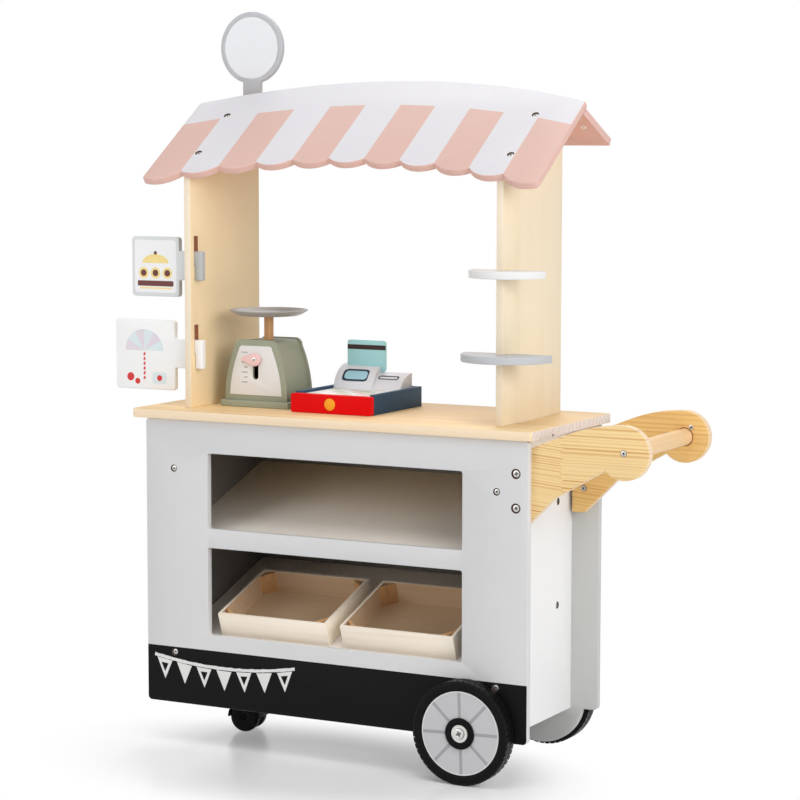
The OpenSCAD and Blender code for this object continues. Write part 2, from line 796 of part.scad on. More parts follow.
module front_tyre() color("dimgray") tyre();

module front_wheel_disc() color("lightgray") wheel_disc();

module front_hub_ring() color("black") hub_ring();

module rear_tyre() color("dimgray") at_back() tyre();

module rear_wheel_disc() color("lightgray") at_back() wheel_disc();

module rear_hub_ring() color("black") at_back() hub_ring();

// Caster: a plate with its stem, a hooded fork, and two wheels on one pin

module at_caster() translate([caster_at[0], caster_at[1], 0]) rotate([0, 0, caster_turn]) children();

module at_caster_screws() for (x = [-1, 1], y = [-1, 1])
    translate([caster_at[0] + x * caster_hole_share * caster_plate[0],
        caster_at[1] + y * caster_hole_share * caster_plate[1], body_bottom - caster_plate[2]]) children();

module caster_plate_stem() color("dimgray") difference() {
    union() {
        translate([caster_at[0] - caster_plate[0] / 2, caster_at[1] - caster_plate[1] / 2,
            body_bottom - caster_plate[2]]) linear_extrude(caster_plate[2])
            rounded([caster_plate[0], caster_plate[1]], caster_plate_r);
        translate([caster_at[0], caster_at[1], 2 * caster_r + caster_shell])
            cylinder(r = caster_stem_r, h = body_bottom - caster_plate[2] - 2 * caster_r - caster_shell);
    }
    at_caster_screws() screw(caster_plate[2] + over, fit);
}

module caster_hood() color("black") at_caster() {
    shell_r = caster_r + caster_gap + caster_shell;
    translate([caster_trail, 0, caster_r]) difference() {
        union() {
            rotate([90, 0, 0]) cylinder(r = caster_r - caster_wheel_round, h = caster_web, center = true);
            intersection() {
                rotate([90, 0, 0]) cylinder(r = shell_r, h = caster_w, center = true);
                translate([-shell_r, -caster_w / 2, 0]) cube([2 * shell_r, caster_w, shell_r]);
            }
        }
        for (side = [-1, 1]) translate([0, side * (caster_web + caster_w) / 4 + side * over / 2, 0])
            rotate([90, 0, 0]) cylinder(r = caster_r + caster_gap,
                h = (caster_w - caster_web) / 2 + over, center = true);
        rotate([90, 0, 0]) cylinder(r = caster_pin_r + run_fit, h = caster_w, center = true);
    }
    difference() {
        translate([0, 0, 2 * caster_r + caster_gap]) cylinder(r = caster_boss_r,
            h = caster_boss_z - 2 * caster_r - caster_gap);
        translate([0, 0, 2 * caster_r]) cylinder(r = caster_stem_r + run_fit, h = caster_boss_z);
        translate([caster_trail, 0, caster_r]) rotate([90, 0, 0])
            cylinder(r = caster_r + caster_gap, h = caster_w, center = true);
    }
}

module caster_axle() color("silver") at_caster() translate([caster_trail, 0, caster_r]) rotate([90, 0, 0])
    cylinder(r = caster_pin_r, h = caster_w - 2 * caster_gap, center = true);

module caster_wheels() color("black") at_caster() for (side = [-1, 1])
    translate([caster_trail, side * (caster_web / 2 + caster_gap), caster_r]) rotate([side * -90, 0, 0])
        rotate_extrude() translate([caster_pin_r + run_fit, 0])
            rounded([caster_r - caster_pin_r - run_fit, caster_wheel_w], caster_wheel_round);

// Menu boards: each hooks its tab into a slot of the left post and lifts out

module menu_sign(i) board_xz(menu_y - menu_t / 2, menu_t)
    translate([post_out, counter_z + menu_tab_z[i]]) difference() {
        size = menu_sizes[i];
        union() {
            translate([-menu_necks[i] - size[0], -menu_low_share * (size[1] - menu_tab_h)])
                rounded(size, menu_r);
            translate([-menu_necks[i] - menu_r, 0]) square([menu_necks[i] + menu_r + post_t, menu_tab_h]);
            translate([post_t - menu_r, 0]) rounded([menu_reach + menu_r, menu_tab_h], menu_r / 2);
        }
        translate([-slip, -over]) square([post_t + 2 * slip, menu_hook + over]);
    }

module upper_menu_sign() color("silver") menu_sign(0);

module lower_menu_sign() color("white") menu_sign(1);

// Crates: open trays with a board across each inner corner, lying on the lower shelf

module on_lower_shelf() translate([0, panel_t, lower_shelf_z]) rotate([shelf_slope, 0, 0]) children();

module crate_place(i) on_lower_shelf() translate([window_x + crate_x[i], crate_y, 0]) children();

module crate() difference() {
    cube([crate_w, crate_d, crate_h]);
    translate([crate_t, crate_t, crate_t]) cube([crate_w - 2 * crate_t, crate_d - 2 * crate_t, crate_h]);
}

module crate_corners() for (x = [0, 1], y = [0, 1])
    translate([crate_w / 2, crate_d / 2, crate_t]) mirror([x, 0, 0]) mirror([0, y, 0])
        translate([crate_t - crate_w / 2, crate_t - crate_d / 2, 0])
            linear_extrude(crate_h - crate_t - corner_drop) polygon([
                [crate_corner, 0], [0, crate_corner], [0, crate_corner - crate_t * sqrt(2)],
                [crate_corner - crate_t * sqrt(2), 0]]);

module left_crate() color("wheat") crate_place(0) crate();

module left_crate_corners() color("burlywood") crate_place(0) crate_corners();

module right_crate() color("wheat") crate_place(1) crate();

module right_crate_corners() color("burlywood") crate_place(1) crate_corners();

// Kitchen scale: two shaped boards joined by a bent shell, and a sprung plunger with pan and pointer

function scale_half(z, inset) = scale_w / 2 - scale_side_r
    + sqrt((scale_side_r - inset) * (scale_side_r - inset) - z * z);

// The body's outline drawn inwards by an inset, from its foot up to a top height, with round shoulders
module scale_outline(inset, foot, top, r) {
    shoulder = top - r;
    intersection() {
        translate([scale_w / 2 - scale_side_r, 0]) circle(scale_side_r - inset, $fn = 360);
        translate([scale_side_r - scale_w / 2, 0]) circle(scale_side_r - inset, $fn = 360);
        translate([-scale_w / 2, foot]) square([scale_w, shoulder + r / 2 - foot]);
    }
    for (side = [-1, 1]) translate([side * (scale_half(shoulder, inset) - r), shoulder]) circle(r);
    translate([r - scale_half(shoulder, inset), shoulder]) square([2 * (scale_half(shoulder, inset) - r), r]);
}

module at_scale() translate([scale_mid, 0, scale_z]) children();

module pointer_slot() translate([0, pointer_z]) long_hole(slot_w, scale_travel);

module scale_base() color("darkseagreen") board_xy(counter_z, scale_base_t)
    translate([scale_mid - scale_w / 2 - scale_lip, scale_y - scale_lip])
        rounded([scale_w + 2 * scale_lip, scale_d + 2 * scale_lip], scale_base_r);

module scale_front() color("darkseagreen") at_scale() board_xz(scale_y, scale_board_t) difference() {
    scale_outline(0, 0, scale_h, scale_round);
    pointer_slot();
}

module scale_back() color("darkseagreen") at_scale()
    board_xz(scale_y + scale_d - scale_board_t, scale_board_t) scale_outline(0, 0, scale_h, scale_round);

module scale_shell() color("darkseagreen") at_scale() difference() {
    board_xz(scale_y + scale_board_t, scale_d - 2 * scale_board_t) difference() {
        scale_outline(scale_wall / 2, 0, scale_h - scale_wall / 2, scale_round);
        scale_outline(scale_wall, -over, scale_h - scale_wall, scale_round - scale_wall / 2);
    }
    translate([-plunger_w / 2 - slip, plunger_y - plunger_w / 2 - slip, scale_h - 2 * scale_wall])
        cube([plunger_w + 2 * slip, plunger_w + 2 * slip, 3 * scale_wall]);
}

module scale_dial() color("linen") at_scale() board_xz(scale_y - dial_t, dial_t) difference() {
    scale_outline(dial_border, dial_low_share * scale_h, scale_h - dial_border, scale_round / 2);
    pointer_slot();
}

module scale_plunger() color("sienna") at_scale()
    translate([-plunger_w / 2, plunger_y - plunger_w / 2, pointer_z - plunger_low])
        cube([plunger_w, plunger_w, scale_h + pan_rise - pointer_z + plunger_low]);

module scale_pan() color("silver") translate([scale_mid, plunger_y, pan_z]) rotate_extrude() polygon([
    [0, 0], [pan_foot_r, 0], [pan_r - pan_t, pan_h - pan_t], [pan_r, pan_h - pan_t], [pan_r, pan_h],
    [pan_r - 2 * pan_t, pan_h], [pan_foot_r - pan_t, pan_t], [0, pan_t]]);

module scale_pointer() color("pink") at_scale() board_xz(scale_y - dial_t - slip - pointer_t, pointer_t)
    translate([0, pointer_z]) difference() {
        union() {
            circle(pointer_r);
            polygon([[0, pointer_r], [-pointer_len, pointer_tip], [-pointer_len, -pointer_tip],
                [0, -pointer_r]]);
        }
        circle(pin_r + fit);
    }

module scale_pointer_screw() color("silver") at_scale() translate([0, plunger_y - plunger_w / 2, pointer_z])
    rotate([90, 0, 0]) {
        reach = plunger_y - plunger_w / 2 - scale_y + dial_t + slip + pointer_t;
        cylinder(r = pin_r, h = reach);
        translate([0, 0, reach]) cylinder(r1 = screw_head_r + pin_r / 2, r2 = pin_r, h = pin_r / 2);
    }

// Coil spring under the plunger, swept as one tube
module scale_spring() color("gray") {
    sides = 8;
    steps = 12 * spring_turns;
    z0 = scale_z + spring_wire;
    lift = pointer_z - plunger_low - 2 * spring_wire;
    points = [for (i = [0 : steps]) let (a = 360 * i * spring_turns / steps)
        for (j = [0 : sides - 1]) let (b = 360 * j / sides, r = spring_r + spring_wire * cos(b))
            [r * cos(a), r * sin(a), z0 + lift * i / steps + spring_wire * sin(b)]];
    ends = [[for (j = [0 : sides - 1]) j], [for (j = [sides - 1 : -1 : 0]) steps * sides + j]];
    walls = [for (i = [0 : steps - 1], j = [0 : sides - 1]) let (k = (j + 1) % sides)
        [i * sides + j, (i + 1) * sides + j, (i + 1) * sides + k, i * sides + k]];
    translate([scale_mid, plunger_y, 0]) polyhedron(points, concat(ends, walls));
}

// Cash register: a case with a deck, a drawer under it, a curved housing and a card in its slot

module register_case() color("steelblue") translate([register_mid - register_w / 2, case_y, counter_z])
    difference() {
        cube([register_w, register_d, register_h]);
        translate([register_wall, -over, case_base])
            cube([register_w - 2 * register_wall, register_d - register_wall + over, register_h]);
    }

module register_deck() color("whitesmoke") translate([housing_x, case_y, deck_z - deck_t])
    cube([register_w - 2 * register_wall - 2 * fit, register_d - register_wall - fit, deck_t]);

module housing_part(x, size, setback) board_yz(x, size[0]) intersection() {
    r = arc_r(housing_d - setback, size[1]);
    translate([housing_d, size[1] - r]) circle(r);
    translate([-over, 0]) square([housing_d + over, size[1] + over]);
}

module register_housing() color("lightgray") difference() {
    translate([housing_x, housing_y - fit, deck_z]) {
        housing_part(0, housing_high, 0);
        housing_part(housing_high[0], housing_low, housing_step);
    }
    translate([housing_x + card_left - slip,
        housing_y + card_share * housing_d - card_t / 2 - slip, card_z - slip])
        cube([card_size[0] + 2 * slip, card_t + 2 * slip, card_size[1]]);
}

module register_drawer() color("crimson") {
    tray = [register_w - 2 * (register_wall + slip), drawer_len,
        register_h - deck_drop - deck_t - case_base - 2 * slip];
    board_xz(register_y, drawer_front_t - slip)
        translate([register_mid - register_w / 2, counter_z + front_gap])
            rounded([register_w, register_h - front_gap - front_drop], drawer_r);
    translate([register_mid - tray[0] / 2, case_y - slip, counter_z + case_base + slip]) difference() {
        cube(tray);
        translate([drawer_t, 0, drawer_t]) cube([tray[0] - 2 * drawer_t, tray[1] - drawer_t, tray[2]]);
    }
}

module drawer_knob() color("orange")
    translate([register_mid, register_y, counter_z + (register_h - front_drop + front_gap) / 2])
        rotate([90, 0, 0]) cylinder(r = knob_r, h = knob_t);

module bank_card() color("paleturquoise")
    board_xz(housing_y + card_share * housing_d - card_t / 2, card_t)
        translate([housing_x + card_left, card_z]) rounded(card_size, card_r);

stand() front_panel();
stand() rear_panel();
stand() left_side_panel();
stand() right_side_panel();
stand() bottom_board();
stand() lower_display_shelf();
stand() upper_display_shelf();
stand() countertop();
stand() left_post();
stand() right_post();
stand() front_roof_board();
stand() rear_roof_board();
stand() round_sign();
stand() sign_face();
stand() upper_post_shelf();
stand() lower_post_shelf();
stand() front_handle_arm();
stand() rear_handle_arm();
stand() handle_dowel();
stand() panel_screws();
stand() shelf_screws();
stand() handle_screws();
stand() roof_screws();
stand() caster_screws();
stand() axle_bolts();
stand() axle_nuts();
stand() front_tyre();
stand() front_wheel_disc();
stand() front_hub_ring();
stand() rear_tyre();
stand() rear_wheel_disc();
stand() rear_hub_ring();
stand() caster_plate_stem();
stand() caster_hood();
stand() caster_axle();
stand() caster_wheels();
stand() upper_menu_sign();
stand() lower_menu_sign();
stand() left_crate();
stand() left_crate_corners();
stand() right_crate();
stand() right_crate_corners();
stand() scale_base();
stand() scale_front();
stand() scale_shell();
stand() scale_back();
stand() scale_dial();
stand() scale_plunger();
stand() scale_pan();
stand() scale_pointer();
stand() scale_pointer_screw();
stand() scale_spring();
stand() register_case();
stand() register_deck();
stand() register_housing();
stand() register_drawer();
stand() drawer_knob();
stand() bank_card();
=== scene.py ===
import json
import math
import random
import bpy
import bmesh
from mathutils import Matrix, Vector


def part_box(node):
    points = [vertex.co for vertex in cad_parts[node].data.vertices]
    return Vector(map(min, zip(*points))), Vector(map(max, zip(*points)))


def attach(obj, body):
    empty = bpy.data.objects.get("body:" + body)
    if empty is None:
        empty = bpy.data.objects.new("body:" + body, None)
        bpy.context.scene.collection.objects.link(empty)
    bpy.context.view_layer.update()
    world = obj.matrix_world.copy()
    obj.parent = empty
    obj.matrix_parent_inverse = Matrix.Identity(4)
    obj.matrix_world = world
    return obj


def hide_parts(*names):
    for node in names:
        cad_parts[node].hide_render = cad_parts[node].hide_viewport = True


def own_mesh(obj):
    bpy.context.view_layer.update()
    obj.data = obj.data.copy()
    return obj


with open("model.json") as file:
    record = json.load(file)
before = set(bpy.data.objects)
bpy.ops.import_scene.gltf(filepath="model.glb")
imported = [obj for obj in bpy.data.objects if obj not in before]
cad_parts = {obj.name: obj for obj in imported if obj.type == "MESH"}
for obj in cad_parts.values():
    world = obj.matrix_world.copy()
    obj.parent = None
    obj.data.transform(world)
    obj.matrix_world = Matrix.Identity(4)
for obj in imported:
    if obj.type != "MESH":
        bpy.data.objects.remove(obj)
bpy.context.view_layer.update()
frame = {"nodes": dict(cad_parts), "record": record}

bodyOf = {n: b for b, names in frame["record"]["behaviour"]["bodies"].items() for n in names}
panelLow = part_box("front_panel")[0]
print("frame loaded:", len(frame["nodes"]), "nodes")


# Stall measures: millimetres from the front panel's left end, its front face and the floor
def at(x, y, z):
    return Vector((panelLow.x + x / 1000, panelLow.y + y / 1000, z / 1000))


def srgb(*rgb):
    def linear(c):
        return c / 12.92 if c <= 0.04045 else ((c + 0.055) / 1.055) ** 2.4
    return (*(linear(c / 255) for c in rgb), 1.0)


def inMetres(points):
    return [(u / 1000, v / 1000) for u, v in points]


def cosSin(degrees):
    return math.cos(math.radians(degrees)), math.sin(math.radians(degrees))


def circle(steps):
    return [(math.cos(2 * math.pi * i / steps), math.sin(2 * math.pi * i / steps)) for i in range(steps)]


# Camera

cameraView = {"spot": (2327.5, -3502.3, 1008.6), "yaw": 27.85, "pitch": 5.91, "roll": 0.0016, "lens": 113.99,
              "sensor": 36, "far": 40}


def makeCamera(view):
    (yawC, yawS), (pitchC, pitchS) = cosSin(view["yaw"]), cosSin(view["pitch"])
    ahead = Vector((-yawS * pitchC, yawC * pitchC, -pitchS))
    right = Vector((yawC, yawS, 0))
    up = right.cross(ahead)
    c, s = math.cos(view["roll"]), math.sin(view["roll"])
    right, up = c * right + s * up, c * up - s * right
    data = bpy.data.cameras.new("stallCamera")
    data.lens, data.sensor_width, data.clip_end = view["lens"], view["sensor"], view["far"]
    camera = bpy.data.objects.new("stallCamera", data)
    bpy.context.scene.collection.objects.link(camera)
    turn = Matrix((right, up, -ahead)).transposed().to_4x4()
    camera.matrix_world = Matrix.Translation(at(*view["spot"])) @ turn
    bpy.context.scene.camera = camera


makeCamera(cameraView)
print("camera set")


# Node helpers

def addNode(tree, kind, **values):
    n = tree.nodes.new(kind)
    for key, value in values.items():
        if key in n.inputs:
            feed(tree, n.inputs[key], value)
        else:
            setattr(n, key, value)
    return n


# A constant goes on the socket itself, anything else is linked to it
def feed(tree, socket, value):
    if isinstance(value, (int, float, tuple)):
        socket.default_value = value
    else:
        tree.links.new(value, socket)


def setInputs(tree, n, values):
    for label, value in values.items():
        feed(tree, n.inputs[label], value)
    return n


def calc(tree, operation, a, b=None, clamp=False):
    n = tree.nodes.new("ShaderNodeMath")
    n.operation, n.use_clamp = operation, clamp
    feed(tree, n.inputs[0], a)
    if b is not None:
        feed(tree, n.inputs[1], b)
    return n.outputs[0]


def plus(tree, a, b, clamp=False):
    return calc(tree, "ADD", a, b, clamp)


def minus(tree, a, b):
    return calc(tree, "SUBTRACT", a, b)


def times(tree, a, b):
    return calc(tree, "MULTIPLY", a, b)


def above(tree, a, b):
    return calc(tree, "GREATER_THAN", a, b)


def below(tree, a, b):
    return calc(tree, "LESS_THAN", a, b)


def most(tree, a, b):
    return calc(tree, "MAXIMUM", a, b)


def squares(tree, a, b):
    return plus(tree, times(tree, a, a), times(tree, b, b))


def mixColor(tree, factor, a, b, blend="MIX"):
    n = tree.nodes.new("ShaderNodeMix")
    n.data_type, n.blend_type = "RGBA", blend
    for i, value in ((0, factor), (6, a), (7, b)):
        feed(tree, n.inputs[i], value)
    return n.outputs[2]


def newGroup(name, inputs, outputs):
    g = bpy.data.node_groups.new(name, "ShaderNodeTree")
    for label, kind, value in inputs:
        s = g.interface.new_socket(label, in_out="INPUT", socket_type="NodeSocket" + kind)
        if value is not None:
            s.default_value = value
    for label, kind in outputs:
        g.interface.new_socket(label, in_out="OUTPUT", socket_type="NodeSocket" + kind)
    return g, g.nodes.new("NodeGroupInput").outputs, g.nodes.new("NodeGroupOutput")


def useGroup(tree, group, **values):
    n = tree.nodes.new("ShaderNodeGroup")
    n.node_tree = group
    return setInputs(tree, n, values).outputs


def parts(tree, vector):
    return addNode(tree, "ShaderNodeSeparateXYZ", Vector=vector).outputs


def joined(tree, x, y, z):
    return addNode(tree, "ShaderNodeCombineXYZ", X=x, Y=y, Z=z).outputs[0]


def objectSpace(tree):
    return addNode(tree, "ShaderNodeTexCoord").outputs["Object"]


def place(tree):
    return parts(tree, objectSpace(tree))


def facing(tree):
    return parts(tree, addNode(tree, "ShaderNodeTexCoord").outputs["Normal"])


def between(tree, value, low, high):
    return times(tree, above(tree, value, low), below(tree, value, high))


def noise(tree, scale, detail, rough=0.5, where=None):
    where = objectSpace(tree) if where is None else where
    n = addNode(tree, "ShaderNodeTexNoise", Scale=scale, Detail=detail, Roughness=rough, Vector=where)
    return n.outputs


def whiteNoise(tree, value):
    return addNode(tree, "ShaderNodeTexWhiteNoise", noise_dimensions="1D", W=value).outputs["Value"]


# Nought at low, one at high
def spread(tree, value, low, high, kind="SMOOTHSTEP"):
    n = addNode(tree, "ShaderNodeMapRange", interpolation_type=kind)
    return setInputs(tree, n, {"Value": value, "From Min": low, "From Max": high}).outputs["Result"]


# Shared effects: scale, detail and roughness of each noise, low and high of each spread

paintLook = {"cloud": (7.0, 5.0, 0.6), "peel": (520.0, 2.0), "rubAndShine": (34.0, 6.0, 0.65), "rubDepth": 0.22,
             "edge": 0.0016, "peelDepth": 0.0002}


def makeSatinPaint():
    g, gin, gout = newGroup("satinPaint",
                            [("Color", "Color", (0.8, 0.8, 0.8, 1)), ("Mottle", "Float", 0.03),
                             ("Sheen", "Float", 0.45)],
                            [("Color", "Color"), ("Roughness", "Float"), ("Height", "Float")])
    cloud, peel, rubAndShine = (noise(g, *paintLook[k])["Fac"] for k in ("cloud", "peel", "rubAndShine"))
    swing = times(g, minus(g, cloud, 0.5), gin["Mottle"])
    shade = addNode(g, "ShaderNodeVectorMath", operation="SCALE", Scale=plus(g, times(g, swing, 2.0), 1.0))
    g.links.new(gin["Color"], shade.inputs[0])
    rough = plus(g, gin["Sheen"], times(g, minus(g, rubAndShine, 0.5), paintLook["rubDepth"]), clamp=True)
    setInputs(g, gout, {"Color": shade.outputs[0], "Roughness": rough, "Height": peel})
    return g


edgeLook = {"samples": 4, "wearAndHighlight": (0.01, 0.22)}


# Mask along the edges, where colour turns paler: partly paint rubbed thin, partly a painted highlight
def makeEdgeWearAndHighlight():
    g, gin, gout = newGroup("edgeWearAndHighlight", [("Radius", "Float", 0.002)], [("Mask", "Float")])
    soft = addNode(g, "ShaderNodeBevel", samples=edgeLook["samples"], Radius=gin["Radius"])
    dot = addNode(g, "ShaderNodeVectorMath", operation="DOT_PRODUCT")
    g.links.new(soft.outputs["Normal"], dot.inputs[0])
    g.links.new(addNode(g, "ShaderNodeNewGeometry").outputs["Normal"], dot.inputs[1])
    bent = minus(g, 1.0, dot.outputs["Value"])
    g.links.new(spread(g, bent, *edgeLook["wearAndHighlight"], "LINEAR"), gout.inputs["Mask"])
    return g


grainLook = {"sway": (0.35, 2.0), "bend": (0.0, 2.2, 0.0), "line": (1.0, 2.0, 0.45), "fibre": (6.0, 4.0, 0.6),
             "fibreLevel": 0.4, "dark": (0.47, 0.72), "rise": (0.3, 0.86), "fall": (1.0, 0.87),
             "ringPower": 1.5, "ringLeast": 0.16, "gloss": 0.25, "edge": 0.002,
             "wearAndHighlightColor": srgb(250, 236, 212), "bump": (0.1, 0.0002)}


# Streaks along a board: the vector runs along the grain in X and across it in Y, one unit for one line
def makeBoardGrain():
    g, gin, gout = newGroup("boardGrain",
                            [("Vector", "Vector", None), ("Pale", "Color", (0.8, 0.7, 0.5, 1)),
                             ("Dark", "Color", (0.6, 0.4, 0.2, 1)), ("Lines", "Float", 1.0),
                             ("Fibres", "Float", 0.3), ("Rings", "Float", 0.0)],
                            [("Color", "Color"), ("Height", "Float")])
    sway = noise(g, *grainLook["sway"], where=gin["Vector"])
    bend = addNode(g, "ShaderNodeVectorMath", operation="MULTIPLY_ADD")
    for socket, value in zip(bend.inputs, (sway["Color"], grainLook["bend"], gin["Vector"])):
        feed(g, socket, value)
    line, fibre = (noise(g, *grainLook[k], bend.outputs[0])["Fac"] for k in ("line", "fibre"))
    linePart = times(g, spread(g, line, *grainLook["dark"]), gin["Lines"])
    fibrePart = times(g, minus(g, fibre, grainLook["fibreLevel"]), gin["Fibres"])
    across = parts(g, bend.outputs[0])["Y"]
    share = calc(g, "FRACT", across)
    strength = calc(g, "POWER", whiteNoise(g, calc(g, "FLOOR", across)), grainLook["ringPower"])
    # Slow into the late wood, then a sharp end
    late = calc(g, "MINIMUM", spread(g, share, *grainLook["rise"]), spread(g, share, *grainLook["fall"]))
    ring = times(g, late, plus(g, strength, grainLook["ringLeast"]))
    total = plus(g, plus(g, linePart, times(g, ring, gin["Rings"])), fibrePart, clamp=True)
    color = mixColor(g, total, gin["Pale"], gin["Dark"])
    setInputs(g, gout, {"Color": color, "Height": minus(g, 1.0, total)})
    return g


satinPaint, edgeWearAndHighlight, boardGrain = makeSatinPaint(), makeEdgeWearAndHighlight(), makeBoardGrain()


def newMaterial(name):
    m = bpy.data.materials.new(name)
    m.use_nodes = True
    return m, m.node_tree, m.node_tree.nodes["Principled BSDF"]


def bump(tree, height, strength, distance):
    n = addNode(tree, "ShaderNodeBump", Strength=strength, Distance=distance, Height=height)
    return n.outputs["Normal"]


# Painted boards: mottled satin, edges paler from rubbing and a painted highlight; paint(tree) may give a
# varying colour
def paintedMaterial(name, color, sheen=0.5, mottle=0.03, rubAndShine=0.25, wearAndHighlightColor=(0.93, 0.92, 0.9, 1), peel=0.05,
                    gloss=0.2, paint=None):
    m, tree, shader = newMaterial(name)
    coat = useGroup(tree, satinPaint, Color=paint(tree) if paint else color, Mottle=mottle, Sheen=sheen)
    wearAndHighlight = times(tree, useGroup(tree, edgeWearAndHighlight, Radius=paintLook["edge"])["Mask"], rubAndShine)
    setInputs(tree, shader, {"Base Color": mixColor(tree, wearAndHighlight, coat["Color"], wearAndHighlightColor),
                             "Roughness": coat["Roughness"], "Specular IOR Level": gloss,
                             "Normal": bump(tree, coat["Height"], peel, paintLook["peelDepth"])})
    return m


# Ink, print and small smooth pieces, with no pale edges of rubbing and painted highlight
def printMaterial(name, color, **more):
    return paintedMaterial(name, color, rubAndShine=0.0, **more)


# Grain lines run along the axis named, spaced across it; shift(tree, vector) may cut and move the boards
def grainVector(tree, along, spacing, length, shift=None):
    source = objectSpace(tree)
    if shift:
        source = shift(tree, source)
    spot = parts(tree, source)
    across, third = {"X": "ZY", "Y": "ZX", "Z": "XY"}[along]
    return joined(tree, times(tree, spot[along], 1000 / length), times(tree, spot[across], 1000 / spacing),
                  times(tree, spot[third], 1000 / spacing))


# Clear-lacquered wood; finish(tree, color) may lay something over the grain
def woodMaterial(name, look, along, shift=None, finish=None):
    m, tree, shader = newMaterial(name)
    vector = grainVector(tree, along, look["spacing"], look["length"], shift)
    grain = useGroup(tree, boardGrain, Vector=vector, Pale=look["pale"], Dark=look["dark"],
                     Lines=look["lines"], Fibres=look["fibres"], Rings=look.get("rings", 0.0))
    color = finish(tree, grain["Color"]) if finish else grain["Color"]
    # Edges paler: partly rubbed lacquer, partly a painted highlight
    wearAndHighlight = times(tree, useGroup(tree, edgeWearAndHighlight, Radius=grainLook["edge"])["Mask"], look.get("rubAndShine", 0.2))
    coat = useGroup(tree, satinPaint, Sheen=look.get("sheen", 0.5))
    setInputs(tree, shader, {"Base Color": mixColor(tree, wearAndHighlight, color, grainLook["wearAndHighlightColor"]),
                             "Roughness": coat["Roughness"], "Specular IOR Level": grainLook["gloss"],
                             "Normal": bump(tree, grain["Height"], *grainLook["bump"])})
    return m


# Mesh helpers

def addObject(name, mesh, body, materials, replaces=()):
    for m in materials:
        mesh.materials.append(m)
    o = bpy.data.objects.new(name, mesh)
    bpy.context.scene.collection.objects.link(o)
    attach(o, body)
    if replaces:
        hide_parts(*replaces)
    return o


# The edges of a node that are worth rounding: sharp ones, without the loops of small screw holes
def boardEdges(bm, angle, smallest):
    sharp = [e for e in bm.edges if len(e.link_faces) == 2 and e.calc_face_angle(0) > angle]
    seen, kept = set(), []
    touching = {}
    for e in sharp:
        for v in e.verts:
            touching.setdefault(v.index, []).append(e)
    for e in sharp:
        if e.index in seen:
            continue
        loop, queue = [], [e]
        seen.add(e.index)
        while queue:
            f = queue.pop()
            loop.append(f)
            for v in f.verts:
                for h in touching[v.index]:
                    if h.index not in seen:
                        seen.add(h.index)
                        queue.append(h)
        points = [v.co for f in loop for v in f.verts]
        size = max(max(p[i] for p in points) - min(p[i] for p in points) for i in range(3))
        if size > smallest:
            kept += loop
    return kept


softening = {"merge": 2e-6, "flat": 0.4, "sharp": 28, "least": 1e-6, "crease": 32}


# A node's own shape with its long edges rounded over, as sanded boards have them
def softBoard(node, material, width=0.001, segments=2, smallest=0.0165):
    source = frame["nodes"][node].data
    mesh = bpy.data.meshes.new(node + "Soft")
    mesh.from_pydata([v.co[:] for v in source.vertices], [], [p.vertices[:] for p in source.polygons])
    bm = bmesh.new()
    bm.from_mesh(mesh)
    bmesh.ops.remove_doubles(bm, verts=bm.verts, dist=softening["merge"])
    bmesh.ops.dissolve_limit(bm, angle_limit=math.radians(softening["flat"]), verts=bm.verts, edges=bm.edges)
    bm.verts.index_update()
    bm.edges.index_update()
    kept = boardEdges(bm, math.radians(softening["sharp"]), smallest)
    if kept:
        bmesh.ops.bevel(bm, geom=kept, offset=width, segments=segments, profile=0.5, affect="EDGES",
                        clamp_overlap=True)
        bmesh.ops.dissolve_degenerate(bm, dist=softening["least"], edges=bm.edges)
    for f in bm.faces:
        f.smooth = True
    bmesh.ops.recalc_face_normals(bm, faces=bm.faces)
    bm.to_mesh(mesh)
    bm.free()
    mesh.set_sharp_from_angle(angle=math.radians(softening["crease"]))
    return addObject(node + "Soft", mesh, bodyOf[node], [material], (node,))


def dress(node, material):
    o = frame["nodes"][node]
    o.data.materials.clear()
    o.data.materials.append(material)


def roundedRect(x0, z0, x1, z1, r, steps=6):
    points = []
    corners = ((x1 - r, z0 + r, -90), (x1 - r, z1 - r, 0), (x0 + r, z1 - r, 90), (x0 + r, z0 + r, 180))
    for cx, cz, start in corners:
        for c, s in (cosSin(start + 90 * i / steps) for i in range(steps + 1)):
            points.append((cx + r * c, cz + r * s))
    return points


def disc(cx, cz, rx, rz=None, steps=28, start=0, sweep=360):
    rz = rz or rx
    count = steps if sweep == 360 else steps + 1
    turns = (cosSin(start + sweep * i / steps) for i in range(count))
    return [(cx + rx * c, cz + rz * s) for c, s in turns]


def ribbon(points, width):
    left, right = [], []
    for i, p in enumerate(points):
        a, b = points[max(i - 1, 0)], points[min(i + 1, len(points) - 1)]
        dx, dz = b[0] - a[0], b[1] - a[1]
        n = math.hypot(dx, dz) or 1
        left.append((p[0] - dz / n * width / 2, p[1] + dx / n * width / 2))
        right.append((p[0] + dz / n * width / 2, p[1] - dx / n * width / 2))
    return right + left[::-1]


# A closed plate between two loops of corners
def addPlate(bm, low, high, index):
    faces = [bm.faces.new(high), bm.faces.new(low[::-1])]
    for i in range(len(low)):
        j = (i + 1) % len(low)
        faces.append(bm.faces.new((low[i], low[j], high[j], high[i])))
    for f in faces:
        f.material_index = index


# Flat printed shapes: each is a thin closed plate on a board's face, higher layers lie on lower ones
printed = {"sunk": -0.05, "layer": 0.12}


def printShapes(name, spot, shapes, materials, body):
    bm = bmesh.new()
    for points, index, level in shapes:
        area = sum(a[0] * b[1] - b[0] * a[1] for a, b in zip(points, points[1:] + points[:1]))
        loop = points if area > 0 else points[::-1]
        low = [bm.verts.new(spot(u, v, printed["sunk"])) for u, v in loop]
        high = [bm.verts.new(spot(u, v, printed["layer"] * level)) for u, v in loop]
        addPlate(bm, low, high, index)
    bmesh.ops.recalc_face_normals(bm, faces=bm.faces)
    mesh = bpy.data.meshes.new(name)
    bm.to_mesh(mesh)
    bm.free()
    return addObject(name, mesh, body, materials)


def frontFace(y):
    return lambda u, v, lift: at(u, y - lift, v)


